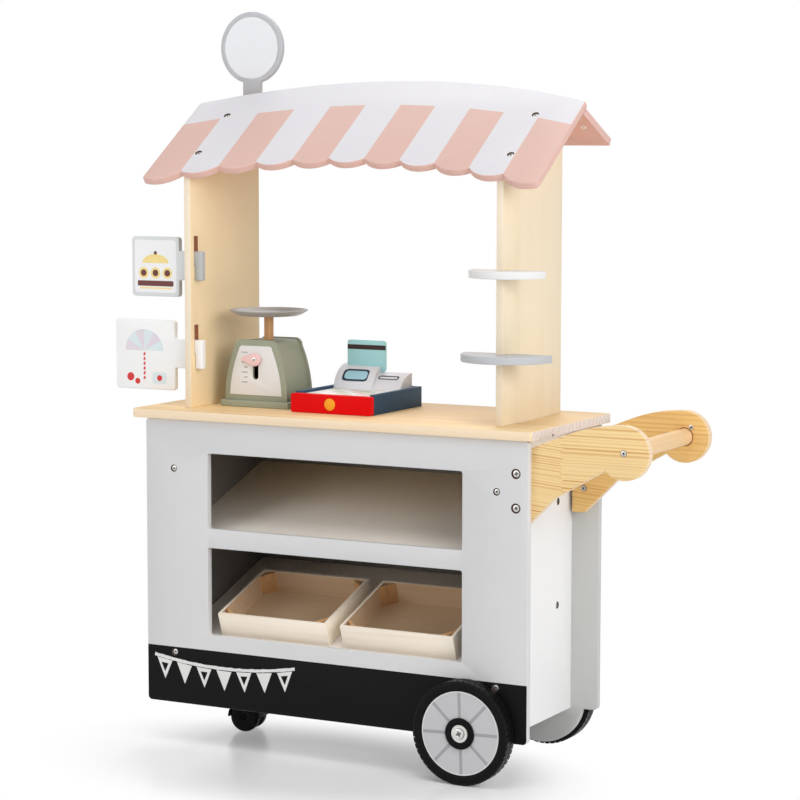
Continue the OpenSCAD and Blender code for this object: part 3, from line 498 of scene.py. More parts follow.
# A smooth skin from each closed ring to the next
def addSkin(bm, rings):
    faces = []
    for low, high in zip(rings, rings[1:]):
        for i in range(len(low)):
            j = (i + 1) % len(low)
            faces.append(bm.faces.new((low[i], high[i], high[j], low[j])))
            faces[-1].smooth = True
    return faces


def revolve(bm, profile, frameMatrix, steps, index=0):
    rings = [[bm.verts.new(frameMatrix @ Vector((r * c, r * s, z))) for r, z in profile]
             for c, s in circle(steps)]
    for f in addSkin(bm, rings + rings[:1]):
        f.material_index = index


def finishMesh(bm, name, angle=35):
    bmesh.ops.remove_doubles(bm, verts=bm.verts, dist=1e-7)
    bmesh.ops.recalc_face_normals(bm, faces=bm.faces)
    mesh = bpy.data.meshes.new(name)
    bm.to_mesh(mesh)
    bm.free()
    mesh.set_sharp_from_angle(angle=math.radians(angle))
    return mesh


# A new mesh in the place of a node
def standIn(name, bm, node, materials, angle=40):
    return addObject(name, finishMesh(bm, name, angle), bodyOf[node], materials, (node,))


# Painted panels, shelves and the black skirting band

# inside is a darker grey, painted shade on the faces inside the bays
panelPaint = {"grey": srgb(216, 216, 217), "rearShadeGrey": srgb(200, 201, 199), "white": srgb(242, 242, 242),
              "inside": srgb(124, 120, 115), "shelf": srgb(242, 236, 228), "skirt": srgb(18, 18, 19),
              "skirtTop": 0.164, "round": 0.0011, "thinRound": 0.0006, "bay": (48, 652), "faceOn": 0.85}


def inBay(tree):
    low, high = (at(x, 0, 0).x for x in panelPaint["bay"])
    spot = place(tree)
    inside = between(tree, spot["X"], low, high)
    return times(tree, inside, above(tree, spot["Z"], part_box("bottom_board")[0].z))


def skirtPaint(tree):
    spot, normal = place(tree), facing(tree)
    ahead = below(tree, normal["Y"], -panelPaint["faceOn"])
    band = times(tree, below(tree, spot["Z"], panelPaint["skirtTop"]), ahead)
    outer = mixColor(tree, band, panelPaint["grey"], panelPaint["skirt"])
    # Painted shade: the panel's back face inside the bays is a darker grey
    inward = times(tree, above(tree, normal["Y"], panelPaint["faceOn"]), inBay(tree))
    return mixColor(tree, inward, outer, panelPaint["inside"])


# Painted shade: darker grey on the faces that look into the bays
def bayShadePaint(axis, side, color):
    def paint(tree):
        inward = above(tree, times(tree, facing(tree)[axis], side), panelPaint["faceOn"])
        return mixColor(tree, times(tree, inward, inBay(tree)), color, panelPaint["inside"])
    return paint


frontPaint = paintedMaterial("frontPanelPaint", panelPaint["grey"], paint=skirtPaint, rubAndShine=0.12, gloss=0.08)
whitePaint = paintedMaterial("whitePanelPaint", panelPaint["white"], rubAndShine=0.1)
# The rear panel is a darker grey than the front, as painted shade
bays = {"rear_panel": ("Y", -1, panelPaint["rearShadeGrey"]), "left_side_panel": ("X", 1, panelPaint["white"]),
        "right_side_panel": ("X", -1, panelPaint["white"])}
softBoard("front_panel", frontPaint, panelPaint["round"])
for board, (axis, side, color) in bays.items():
    paint = paintedMaterial(board + "Paint", color, rubAndShine=0.12, paint=bayShadePaint(axis, side, color))
    softBoard(board, paint, panelPaint["round" if board == "rear_panel" else "thinRound"])
shelfPaint = paintedMaterial("displayShelfPaint", panelPaint["shelf"], rubAndShine=0.1)
softBoard("bottom_board", whitePaint, panelPaint["thinRound"])
for board in ("lower_display_shelf", "upper_display_shelf"):
    softBoard(board, shelfPaint, panelPaint["thinRound"])
print("panels painted")


# Faces square to an axis, of either side
faceOn = 0.8


def squareTo(tree, value):
    return above(tree, calc(tree, "ABSOLUTE", value), faceOn)


# Countertop: edge-glued strips with end grain at both ends

counter = {"pale": srgb(243, 213, 164), "dark": srgb(210, 164, 106), "edge": srgb(246, 226, 200),
           "end": srgb(232, 220, 212), "endLine": srgb(196, 168, 158), "strip": 0.058, "stripTone": 0.16,
           "edgeTone": 0.75, "endTone": 0.65, "round": 0.0016, "ringGap": 0.0145, "ringSlant": 1.9,
           "wander": (30.0, 2.0), "wanderBy": 1.6, "linePower": 5.0, "hole": (70.6, 548.4),
           "holeRadius": 0.0026, "holeShade": srgb(52, 38, 30), "spacing": 7, "length": 420, "lines": 0.4,
           "fibres": 0.3, "rubAndShine": 0.25}


def counterFinishAndHoleShade(tree, color):
    spot, normal = place(tree), facing(tree)
    y, z = spot["Y"], spot["Z"]
    tone = whiteNoise(tree, calc(tree, "FLOOR", calc(tree, "DIVIDE", y, counter["strip"])))
    strips = mixColor(tree, times(tree, tone, counter["stripTone"]), color, counter["dark"])
    frontal = times(tree, squareTo(tree, normal["Y"]), counter["edgeTone"])
    edged = mixColor(tree, frontal, strips, counter["edge"])
    # Each strip's rings slant their own way
    lean = times(tree, minus(tree, tone, 0.5), counter["ringSlant"])
    across = calc(tree, "DIVIDE", plus(tree, y, times(tree, z, lean)), counter["ringGap"])
    wander = times(tree, noise(tree, *counter["wander"])["Fac"], counter["wanderBy"])
    line = calc(tree, "POWER", calc(tree, "FRACT", plus(tree, across, wander)), counter["linePower"])
    endGrain = mixColor(tree, times(tree, line, counter["endTone"]), counter["end"], counter["endLine"])
    # Painted shade: a dark disc for the hole in the right-hand end
    hole = at(0, *counter["hole"])
    away = squares(tree, minus(tree, y, hole.y), minus(tree, z, hole.z))
    bored = times(tree, below(tree, away, counter["holeRadius"] ** 2), above(tree, normal["X"], faceOn))
    endGrain = mixColor(tree, bored, endGrain, counter["holeShade"])
    return mixColor(tree, squareTo(tree, normal["X"]), edged, endGrain)


counterWood = woodMaterial("counterWood", counter, "X", finish=counterFinishAndHoleShade)
softBoard("countertop", counterWood, counter["round"])


# Posts: upright grain, with painted shade on the walls of the slots

postWoodLook = {"pale": srgb(243, 227, 198), "dark": srgb(224, 196, 150), "edge": srgb(243, 229, 208),
                "inner": srgb(250, 225, 178), "cut": srgb(168, 108, 76), "tone": 0.7, "slotLow": (52.5, 640),
                "slotHigh": (66.5, 850), "slotTurn": 0.4, "round": 0.001, "spacing": 34, "length": 420,
                "lines": 0.12, "fibres": 0.16}


def postFinishWithLightAndShade(tree, color):
    normal, spot = facing(tree), place(tree)
    frontal = times(tree, squareTo(tree, normal["Y"]), postWoodLook["tone"])
    edged = mixColor(tree, frontal, color, postWoodLook["edge"])
    # Painted light: the left post's inner face is lighter and warmer
    inner = times(tree, above(tree, normal["X"], faceOn), below(tree, spot["X"], 0.0))
    edged = mixColor(tree, times(tree, inner, postWoodLook["tone"]), edged, postWoodLook["inner"])
    # Painted shade: brown on the walls of the slots
    low, high = at(0, *postWoodLook["slotLow"]), at(0, *postWoodLook["slotHigh"])
    inSlot = times(tree, between(tree, spot["Y"], low.y, high.y), between(tree, spot["Z"], low.z, high.z))
    cut = times(tree, inSlot, below(tree, calc(tree, "ABSOLUTE", normal["X"]), postWoodLook["slotTurn"]))
    return mixColor(tree, cut, edged, postWoodLook["cut"])


postWood = woodMaterial("postWood", postWoodLook, "Z", finish=postFinishWithLightAndShade)
for board in ("left_post", "right_post"):
    softBoard(board, postWood, postWoodLook["round"])
print("counter and posts grained")


# Roof: white boards with pink stripes and pink edges

roof = {"white": srgb(224, 222, 226), "pink": srgb(222, 186, 175), "edge": srgb(224, 184, 173),
        "under": srgb(222, 170, 152), "middle": 342.75, "width": 719.6, "stripes": 11,
        "ridge": (200.3, 1067.0), "pitch": 34.5, "stripeTop": (0.008, 0.058), "faceUp": 0.9, "faceDown": -0.5,
        "round": 0.0016}


def roofPaint(tree):
    spot, normal = place(tree), facing(tree)
    ridge = at(roof["middle"], *roof["ridge"])
    c, s = cosSin(roof["pitch"])
    u = minus(tree, spot["X"], ridge.x)
    down = plus(tree, times(tree, minus(tree, spot["Y"], ridge.y), -c),
                times(tree, minus(tree, spot["Z"], ridge.z), -s))
    half = roof["width"] / 2000
    lane = calc(tree, "DIVIDE", plus(tree, u, half), 2 * half / roof["stripes"])
    index = calc(tree, "FLOOR", lane)
    pinkLane = below(tree, calc(tree, "FLOORED_MODULO", index, 2.0), 0.5)
    laneMiddle = minus(tree, times(tree, plus(tree, index, 0.5), 2 * half / roof["stripes"]), half)
    bow = roof["stripeTop"][1] / half ** 2    # each stripe's top end is a chord of the arch
    lean = times(tree, times(tree, laneMiddle, 2 * bow), minus(tree, u, laneMiddle))
    arch = times(tree, times(tree, laneMiddle, laneMiddle), bow)
    top = plus(tree, plus(tree, arch, lean), roof["stripeTop"][0])
    stripe = times(tree, pinkLane, above(tree, down, top))
    up = plus(tree, times(tree, normal["Y"], -s), times(tree, normal["Z"], c))
    face = mixColor(tree, stripe, roof["white"], roof["pink"])
    return mixColor(tree, above(tree, up, roof["faceUp"]), roof["edge"], face)


roofStripes = paintedMaterial("roofStripes", roof["white"], paint=roofPaint, rubAndShine=0.1, mottle=0.02)


# Painted shade: the rear board's faces that look down are a darker, deeper salmon
def rearRoofPaint(tree):
    under = below(tree, facing(tree)["Z"], roof["faceDown"])
    return mixColor(tree, under, roof["edge"], roof["under"])


roofPink = paintedMaterial("roofPink", roof["pink"], rubAndShine=0.1, mottle=0.02, paint=rearRoofPaint)
softBoard("front_roof_board", roofStripes, roof["round"], 3)
softBoard("rear_roof_board", roofPink, roof["round"], 3)

# Pale ring let into the rear board's underside, near its right end
insert = {"spot": (683.3, 236.2, 1025.6), "pitch": 25, "color": srgb(238, 224, 216), "steps": 32,
          "outline": [(2.4, -1), (5.4, -1), (5.4, 0.3), (5.0, 0.6), (2.8, 0.6), (2.4, 0.3)]}


def makeInsert():
    bm, node = bmesh.new(), "rear_roof_board"
    turn = Matrix.Rotation(math.radians(180 - insert["pitch"]), 4, "X")
    spot = Matrix.Translation(at(*insert["spot"]))
    revolve(bm, inMetres(insert["outline"]), spot @ turn, insert["steps"])
    addObject("roofInsert", finishMesh(bm, "roofInsert", 40), bodyOf[node],
              [printMaterial("insertPaint", insert["color"])])


makeInsert()
print("roof striped")


# Round sign, half-round shelves and menu boards

signLook = {"ring": srgb(190, 192, 195), "face": srgb(233, 235, 238), "shelfWhite": srgb(232, 232, 232),
            "shelfGrey": srgb(192, 194, 197), "menuGrey": srgb(220, 223, 224), "menuTabShade": srgb(184, 187, 188),
            "menuWhite": srgb(246, 246, 246), "round": 0.0007, "shelfRound": 0.0014, "menuRound": 0.0026,
            "tabFrom": 58, "edgeTurn": 0.6}
ringPaint = paintedMaterial("signRingPaint", signLook["ring"], rubAndShine=0.15)
softBoard("round_sign", ringPaint, signLook["round"], 3)    # half the depth of the face's recess
dress("sign_face", printMaterial("signFacePaint", signLook["face"], mottle=0.02))
upperShelfPaint = paintedMaterial("upperShelfPaint", signLook["shelfWhite"], rubAndShine=0.1)
lowerShelfPaint = paintedMaterial("lowerShelfPaint", signLook["shelfGrey"], rubAndShine=0.2)
softBoard("upper_post_shelf", upperShelfPaint, signLook["shelfRound"], 3)
softBoard("lower_post_shelf", lowerShelfPaint, signLook["shelfRound"], 3)


# Painted shade: the tab that reaches through the post, and the right-hand edge, are a darker grey
def menuShadePaint(tree):
    tab = most(tree, above(tree, place(tree)["X"], at(signLook["tabFrom"], 0, 0).x),
               above(tree, facing(tree)["X"], signLook["edgeTurn"]))
    return mixColor(tree, tab, signLook["menuGrey"], signLook["menuTabShade"])


menuGreyPaint = paintedMaterial("menuGreyPaint", signLook["menuGrey"], rubAndShine=0.2, paint=menuShadePaint)
menuWhitePaint = paintedMaterial("menuWhitePaint", signLook["menuWhite"], rubAndShine=0.05)
softBoard("upper_menu_sign", menuGreyPaint, signLook["menuRound"], 4)
softBoard("lower_menu_sign", menuWhitePaint, signLook["menuRound"], 4)
print("signs and shelves painted")


# Printed pictures: plain shapes of paint on the two menu boards, a chalk bunting on the skirting

inks = {"white": srgb(243, 243, 244), "brown": srgb(112, 66, 62), "cream": srgb(246, 222, 150),
        "red": srgb(214, 60, 58), "blue": srgb(221, 233, 236), "lilac": srgb(226, 217, 226),
        "chalk": srgb(226, 226, 224)}
ink = {name: printMaterial(name + "Ink", color) for name, color in inks.items()}
menuFace = 53.9


def upperMenuPrint():
    shapes = [(roundedRect(-55.5, 750.5, 26.5, 838, 5), 0, 1)]
    for x in (-38, -14.5, 9):    # three round biscuits on a board
        shapes += [(disc(x, 783, 9.5), 1, 2), (disc(x, 783, 5.6), 2, 3)]
    shapes += [(roundedRect(-50, 761, 21, 770, 2), 2, 2), (roundedRect(-46, 756.5, 17, 759, 1), 1, 2)]
    shapes += [(disc(-14.5, 799.5, 26, 15, 24, 0, 180), 1, 2), (disc(-14.5, 816.5, 3.2), 2, 2)]
    printShapes("upperMenuPrint", frontFace(menuFace), shapes, [ink["white"], ink["cream"], ink["brown"]],
                "upper_menu")


def lowerMenuPrint():
    middle, foot = -38, 652
    shapes = []
    for i in range(6):    # a parasol's gores
        shapes.append(([(middle, foot)] + disc(middle, foot, 38, 36, 6, 30 * i, 30), i % 2, 1))
    for i in range(6):    # its striped stick
        left, right, z = middle - 1.8, middle + 1.8, 648 - 8 * i
        shapes.append(([(left, z), (left, z - 5), (right, z - 3.5), (right, z + 1.5)], 2, 1))
    shapes += [(disc(-66, 607, 7), 2, 1), (disc(-52, 600, 5), 2, 1), (roundedRect(-22, 597, 6, 616, 4), 0, 1),
               (disc(-8, 606.5, 5), 2, 2)]
    printShapes("lowerMenuPrint", frontFace(menuFace), shapes, [ink["blue"], ink["lilac"], ink["red"]],
                "lower_menu")


chalk = {"from": 14, "to": 284, "top": 149, "sag": 13, "stroke": 5.2, "steps": 54, "flags": 7, "flagWide": 29,
         "flagTall": 33, "gap": 1.2, "tip": 1, "middle": 0.36, "hole": 0.46, "wobble": 0.45, "seed": 7}


# A string of pennants, drawn by hand
def chalkBunting():
    hand = random.Random(chalk["seed"])
    first, span, steps = chalk["from"], chalk["to"] - chalk["from"], chalk["steps"]

    def shake(value):
        return value + hand.uniform(-1, 1) * chalk["wobble"]

    def shaky(points):
        return [(shake(u), shake(v)) for u, v in points]

    def stringAt(u):
        share = (u - first) / span
        return chalk["top"] - 4 * chalk["sag"] * share * (1 - share)

    line = [(u, stringAt(u)) for u in (first + span * i / steps for i in range(steps + 1))]
    shapes = [(shaky(ribbon(line, chalk["stroke"])), 0, 1)]
    pitch = span / chalk["flags"]
    half, drop = chalk["flagWide"] / 2, chalk["stroke"] / 2 + chalk["gap"]
    for k in range(chalk["flags"]):
        middle = first + pitch * (k + 0.5)
        left, right, top = middle - half, middle + half, stringAt(middle) - drop
        outer = [(left, stringAt(left) - drop), (right, stringAt(right) - drop),
                 (middle + chalk["tip"], top - chalk["flagTall"])]
        if k % 2:
            shapes.append((shaky(outer), 0, 1))
            continue
        center, share = top - chalk["flagTall"] * chalk["middle"], chalk["hole"]
        inner = [(middle + (u - middle) * share, center + (v - center) * share) for u, v in outer]
        outer, inner = shaky(outer), shaky(inner)
        for i in range(3):
            n = (i + 1) % 3
            shapes.append(([outer[i], outer[n], inner[n], inner[i]], 0, 1))
    printShapes("chalkBunting", frontFace(0), shapes, [ink["chalk"]], "stall")


upperMenuPrint()
lowerMenuPrint()
chalkBunting()
print("pictures printed")


# Handle: finger-jointed pine arms and a smooth dowel

pineLook = {"pale": srgb(244, 214, 157), "dark": srgb(204, 142, 68), "edge": srgb(238, 221, 206),
            "edgeTurn": 0.7, "edgeTone": 0.5, "joint": 747, "finger": 0.008, "reach": 0.006,
            "depthScale": 0.4, "ringScale": 1.4, "ringTilt": 0.12, "otherStock": 0.173, "spacing": 5.6,
            "length": 420, "lines": 0.12, "fibres": 0.22, "rings": 0.9, "rubAndShine": 0.2, "round": 0.0014,
            "holes": ((852.7, 534.5), (679.01, 440.35), (679.01, 494.15)), "holeRim": 0.0054,
            "holeShade": srgb(122, 84, 58)}
rearPineLook = dict(pineLook, pale=srgb(238, 198, 128), dark=srgb(198, 136, 66), spacing=8.5, rings=0.5)
dowelLook = {"pale": srgb(234, 200, 154), "dark": srgb(210, 166, 116), "spacing": 9, "length": 500,
             "lines": 0.3, "fibres": 0.3}


# Finger joint: the stock beyond the zigzag seam has its own rings
def pineShift(tree, source):
    spot = parts(tree, source)
    tooth = calc(tree, "PINGPONG", calc(tree, "DIVIDE", spot["Z"], pineLook["finger"]), 1.0)
    seam = plus(tree, times(tree, tooth, pineLook["reach"]), at(pineLook["joint"], 0, 0).x)
    beyond = above(tree, spot["X"], seam)
    tilted = plus(tree, times(tree, spot["Z"], pineLook["ringScale"]),
                  times(tree, spot["X"], pineLook["ringTilt"]))
    other = plus(tree, spot["Z"], pineLook["otherStock"])
    lift = addNode(tree, "ShaderNodeMix", data_type="FLOAT")
    for i, value in ((0, beyond), (2, tilted), (3, other)):
        tree.links.new(value, lift.inputs[i])
    return joined(tree, spot["X"], times(tree, spot["Y"], pineLook["depthScale"]), lift.outputs[0])


# Pale edges, and a brown rim of painted shade round each screw hole
def pineFinishAndHoleShade(tree, color):
    normal, spot = facing(tree), place(tree)
    flat = below(tree, calc(tree, "ABSOLUTE", normal["Y"]), pineLook["edgeTurn"])
    edged = mixColor(tree, times(tree, flat, pineLook["edgeTone"]), color, pineLook["edge"])
    for x, z in pineLook["holes"]:
        hole = at(x, 0, z)
        away = squares(tree, minus(tree, spot["X"], hole.x), minus(tree, spot["Z"], hole.z))
        edged = mixColor(tree, below(tree, away, pineLook["holeRim"] ** 2), edged, pineLook["holeShade"])
    return edged


for arm, look in (("front_handle_arm", pineLook), ("rear_handle_arm", rearPineLook)):
    softBoard(arm, woodMaterial(arm + "Pine", look, "X", pineShift, pineFinishAndHoleShade), look["round"], 3)
dress("handle_dowel", woodMaterial("dowelWood", dowelLook, "Y"))
print("handle grained")


# Metals, rubber and black plastic

metalLook = {"scratch": (900.0, 4.0), "scratchTone": 0.35, "scratchRough": 0.18,
             "scratchColor": srgb(120, 122, 126)}
blackLook = {"mottle": 0.12, "dust": (26.0, 7.0, 0.7), "dustPower": 3.0, "dustTone": 0.03,
             "dustColor": srgb(130, 128, 126), "gritDepth": 0.0003}


def metalMaterial(name, color, rough):
    m, tree, shader = newMaterial(name)
    scratch = noise(tree, *metalLook["scratch"])["Fac"]
    wearAndHighlight = mixColor(tree, times(tree, scratch, metalLook["scratchTone"]), color, metalLook["scratchColor"])
    dull = plus(tree, times(tree, scratch, metalLook["scratchRough"]), rough)
    setInputs(tree, shader, {"Base Color": wearAndHighlight, "Roughness": dull, "Metallic": 1.0})
    return m


def blackMaterial(name, color, rough, grit, gloss):
    m, tree, shader = newMaterial(name)
    coat = useGroup(tree, satinPaint, Color=color, Mottle=blackLook["mottle"], Sheen=rough)
    dust = calc(tree, "POWER", noise(tree, *blackLook["dust"])["Fac"], blackLook["dustPower"])
    grey = times(tree, dust, blackLook["dustTone"])
    setInputs(tree, shader, {"Base Color": mixColor(tree, grey, coat["Color"], blackLook["dustColor"]),
                             "Roughness": coat["Roughness"], "Specular IOR Level": gloss,
                             "Normal": bump(tree, coat["Height"], grit, blackLook["gritDepth"])})
    return m


steel = metalMaterial("zincSteel", srgb(222, 221, 217), 0.24)
# Painted shade: a darker steel for the cross recesses and the bolt heads' grooves
recessShadeSteel = metalMaterial("recessShadeSteel", srgb(104, 103, 100), 0.45)
# Bare board for the counterbores, darkened as painted shade
rawBoardAndShade = printMaterial("rawBoardAndShade", srgb(74, 55, 44), sheen=0.8, mottle=0.15)
rubber = blackMaterial("tyreRubber", srgb(14, 14, 15), 0.55, 0.2, 0.08)
treadRubber = blackMaterial("treadRubber", srgb(14, 14, 15), 0.36, 0.2, 0.15)
blackPlastic = blackMaterial("blackPlastic", srgb(13, 13, 14), 0.42, 0.12, 0.07)


# Large wheels

wheel = {"axle": (597.5, 83), "rim": 66.75, "radius": 83, "inner": 2, "outer": 28, "carcass": 81.9,
         "rear": 287, "grey": srgb(197, 197, 199), "spoke": srgb(165, 161, 165), "spokeHalf": 0.0026,
         "paleRim": srgb(224, 224, 225), "rimFrom": 0.0648, "turn": 2.0, "steps": 112}
tread = {"blocks": 52, "wide": 0.84, "skew": 0.4, "lag": 0.5, "edge": 0.0012, "reach": 0.0098,
         "draft": 0.0015, "blockLow": 0.003, "ribHalf": 0.0016, "ribLow": 0.002, "ribSunk": 0.0002}


def wheelPaint(tree):
    spot = place(tree)
    hub = at(wheel["axle"][0], 0, wheel["axle"][1])
    dx, dz = minus(tree, spot["X"], hub.x), minus(tree, spot["Z"], hub.z)
    mask = 0.0
    for k in range(4):
        c, s = cosSin(45 * k + wheel["turn"])
        off = calc(tree, "ABSOLUTE", plus(tree, times(tree, dx, -s), times(tree, dz, c)))
        mask = most(tree, mask, below(tree, off, wheel["spokeHalf"]))
    inside = below(tree, calc(tree, "SQRT", squares(tree, dx, dz)), wheel["rimFrom"])
    grey = mixColor(tree, inside, wheel["paleRim"], wheel["grey"])
    return mixColor(tree, times(tree, mask, inside), grey, wheel["spoke"])


discPaint = printMaterial("wheelDiscPaint", wheel["grey"], paint=wheelPaint, mottle=0.02)


def onAxle(face, degrees):
    hub = at(wheel["axle"][0], face, wheel["axle"][1])
    return Matrix.Translation(hub) @ Matrix.Rotation(math.radians(degrees), 4, "X")


# A tyre with two rows of slanted blocks and a zigzag rib between them
def makeTyre(name, node, face, side):
    spin = onAxle(face, 90 * side)
    mm = 0.001
    a, b, r0, r1 = wheel["inner"] * mm, wheel["outer"] * mm, wheel["rim"] * mm, wheel["carcass"] * mm
    bm = bmesh.new()
    profile = [(r0, a + 0.003), (r0 + 0.003, a + 0.0006), (r1 - 0.006, a), (r1 - 0.002, a + 0.0012),
               (r1, a + 0.004), (r1 + 0.0006, (a + b) / 2), (r1, b - 0.004), (r1 - 0.002, b - 0.0012),
               (r1 - 0.006, b), (r0 + 0.003, b - 0.0006), (r0, b - 0.003)]
    revolve(bm, profile, spin, wheel["steps"])

    def block(corners, low, high):
        def point(turn, width, r):
            return bm.verts.new(spin @ Vector((r * math.cos(turn), r * math.sin(turn), width)))
        draft = tread["draft"]
        floor = [point(t, w, low) for t, w in corners]
        roofing = [point(t + d, w, high) for (t, w), d in zip(corners, (draft, -draft, -draft, draft))]
        addPlate(bm, floor, roofing, 1)

    top, pitch = wheel["radius"] * mm, 2 * math.pi / tread["blocks"]
    wide, skew, half = tread["wide"] * pitch, tread["skew"] * pitch, tread["ribHalf"]
    rows = ((a + tread["edge"], a + tread["reach"], 0),
            (b - tread["edge"], b - tread["reach"], tread["lag"] * pitch))
    mid = (a + b) / 2
    for k in range(tread["blocks"]):
        t = k * pitch
        for edge, inner, lag in rows:
            left, right = t + lag, t + lag + wide
            corners = [(left, edge), (right, edge), (right + skew, inner), (left + skew, inner)]
            block(corners, r1 - tread["blockLow"], top)
        swing = half if k % 2 else -half
        zigzag = [(t, mid - half + swing), (t + pitch, mid - half - swing), (t + pitch, mid + half - swing),
                  (t, mid + half + swing)]
        block(zigzag, r1 - tread["ribLow"], top - tread["ribSunk"])
    standIn(name, bm, node, [rubber, treadRubber], 30)


makeTyre("frontTyreTread", "front_tyre", 0, 1)
makeTyre("rearTyreTread", "rear_tyre", wheel["rear"], -1)
for end in ("front", "rear"):
    dress(end + "_wheel_disc", discPaint)
    softBoard(end + "_hub_ring", blackPlastic, 0.0009, 3, 0.001)
print("wheels treaded")


# Screws with cross recesses; the sunk ones sit in counterbores of bare brown board, darkened as painted shade

screwLook = {"head": 4.2, "shank": 2.0, "dome": 0.4, "bore": 6.0, "sink": 1.5, "length": 14, "bolt": 5.4,
             "boltBore": 8.0, "nut": 4.4, "button": 4.5, "steps": 40, "slant": 0.4, "slantStep": 0.7,
             "rings": (0.06, 0.16, 0.26, 0.36, 0.46, 0.56, 0.62, 0.7, 0.85, 0.96),
             "crossReach": 0.6, "crossHalf": 0.17, "crossDeep": 1.5, "crossRise": 0.6}
screwSteel = [steel, rawBoardAndShade, recessShadeSteel]


def addScrew(bm, spot, outward, head, length, bore=None, slant=screwLook["slant"]):
    turn = outward.to_track_quat("Z", "Y").to_matrix().to_4x4()
    sink = screwLook["sink"] if bore else 0
    mm, steps, shank = 0.001, screwLook["steps"], screwLook["shank"]
    base = Matrix.Translation(spot - outward * sink * mm) @ turn @ Matrix.Rotation(slant, 4, "Z")
    rings, sunken, compass = [], set(), circle(steps)
    for share in screwLook["rings"]:
        row = []
        for c, s in compass:
            x, y = share * c, share * s
            z = screwLook["dome"] * (1 - share * share)
            cross = share < screwLook["crossReach"] and min(abs(x), abs(y)) < screwLook["crossHalf"]
            if cross:
                z -= screwLook["crossDeep"] * (1 - screwLook["crossRise"] * share)
            row.append(bm.verts.new(base @ Vector((head * x * mm, head * y * mm, z * mm))))
            if cross:
                sunken.add(row[-1])
        rings.append(row)
    for r, z in ((head, -0.25), (shank, -2.6), (shank, -length)):
        rings.append([bm.verts.new(base @ Vector((r * c * mm, r * s * mm, z * mm))) for c, s in compass])
    # The cross recess takes the darker steel, as painted shade
    for f in addSkin(bm, rings):
        if sum(v in sunken for v in f.verts) > 1:
            f.material_index = 2
    bm.faces.new(rings[0]).material_index = 2
    bm.faces.new(rings[-1][::-1])
    if bore:
        # The counterbore's lining of bare board, darkened as painted shade
        cup = [(head, -0.2), (head, 0.05), (bore - 0.15, 0.05), (bore - 0.15, sink - 0.2),
               (bore - 0.01, sink - 0.2), (bore - 0.01, -0.2)]
        revolve(bm, [(r * mm, z * mm) for r, z in cup], base, steps, 1)


def makeScrews(name, node, spots):
    bm = bmesh.new()
    for i, (spot, outward, head, bore) in enumerate(spots):
        slant = screwLook["slant"] + screwLook["slantStep"] * i
        addScrew(bm, spot, Vector(outward), head, screwLook["length"], bore, slant)
    standIn(name, bm, node, screwSteel)


# Roof rows: ridge, pitch, length of slope, shares of it, and the way it falls
screwSpots = {"faces": ((0, -1), (wheel["rear"], 1)), "panelX": (53.8, 646.2), "panelZ": (155.68, 464.13),
              "sides": ((47.8, -1), (652.2, 1)), "sills": (183.9, 354.6), "shelfShares": (0.18, 0.785),
              "shelfFront": 12, "shelfRun": 263, "shelfSlope": 19.3, "shelfDrop": 4.77,
              "arm": (679.01, (440.35, 494.15)), "armInside": ((28.5, 1), (258.5, -1)),
              "dowel": (852.7, 534.5), "dowelEnds": ((11.6, -1), (275.4, 1)),
              "armEnd": (864.4, 259.6, 550.1), "roofX": (56.25, 629.25),
              "roofRows": (((200.3, 1067), 34.5, 220, (0.17, 0.67), -1),
                           ((202.98, 1054.28), 25, 111, (0.3, 0.6), 1))}


def panelSpots(sunk):
    return [(at(x, y, z), (0, out, 0), *sunk) for x in screwSpots["panelX"] for z in screwSpots["panelZ"]
            for y, out in screwSpots["faces"]]


def shelfSpots(sunk):
    spots, climb = [], math.tan(math.radians(screwSpots["shelfSlope"]))
    for x, out in screwSpots["sides"]:
        for sill in screwSpots["sills"]:
            for share in screwSpots["shelfShares"]:
                run = share * screwSpots["shelfRun"]
                z = sill + (run * climb - screwSpots["shelfDrop"])
                spots.append((at(x, screwSpots["shelfFront"] + run, z), (out, 0, 0), *sunk))
    return spots


def armSpots():
    (x, rows), (endX, endZ) = screwSpots["arm"], screwSpots["dowel"]
    bolted = (screwLook["bolt"], screwLook["boltBore"])
    nut, button = (screwLook["nut"], None), (screwLook["button"], None)
    spots = [(at(x, y, z), (0, out, 0), *bolted) for z in rows for y, out in screwSpots["faces"]]
    spots += [(at(x, y, z), (0, out, 0), *nut) for z in rows for y, out in screwSpots["armInside"]]
    spots += [(at(endX, y, endZ), (0, out, 0), *button) for y, out in screwSpots["dowelEnds"]]
    return spots + [(at(*screwSpots["armEnd"]), (0, -1, 0), screwLook["head"], None)]


def roofSpots(sunk):
    spots = []
    for x in screwSpots["roofX"]:
        for (y, z), pitch, length, shares, way in screwSpots["roofRows"]:
            c, s = cosSin(pitch)
            for run in (share * length for share in shares):
                spots.append((at(x, y + way * run * c, z - run * s), (0, way * s, c), *sunk))
    return spots


sunk = (screwLook["head"], screwLook["bore"])
makeScrews("panelScrewHeads", "panel_screws", panelSpots(sunk))
makeScrews("shelfScrewHeads", "shelf_screws", shelfSpots(sunk))
makeScrews("handleScrewHeads", "handle_screws", armSpots())
makeScrews("roofScrewHeads", "roof_screws", roofSpots(sunk))
for node in ("axle_nuts", "caster_plate_stem", "caster_screws"):
    dress(node, steel)


# Pan-headed bolts with a washer, radius and distance from the panel's face
axleBolt = {"outline": [(0.05, -18), (4, -18), (4, 26.3), (14, 26.3), (14, 28.1), (13.8, 28.3), (8.9, 28.3),
                        (8.9, 27.7), (8.2, 27.7), (8.2, 30.4), (8.0, 30.8), (4.6, 30.8), (4.6, 29.4),
                        (0.05, 29.4)],
            "groove": [(8.15, 27.75), (8.95, 27.75), (8.95, 28.1), (8.15, 28.1)], "head": 8.0, "top": 31.1,
            "length": 1.6, "steps": 48}


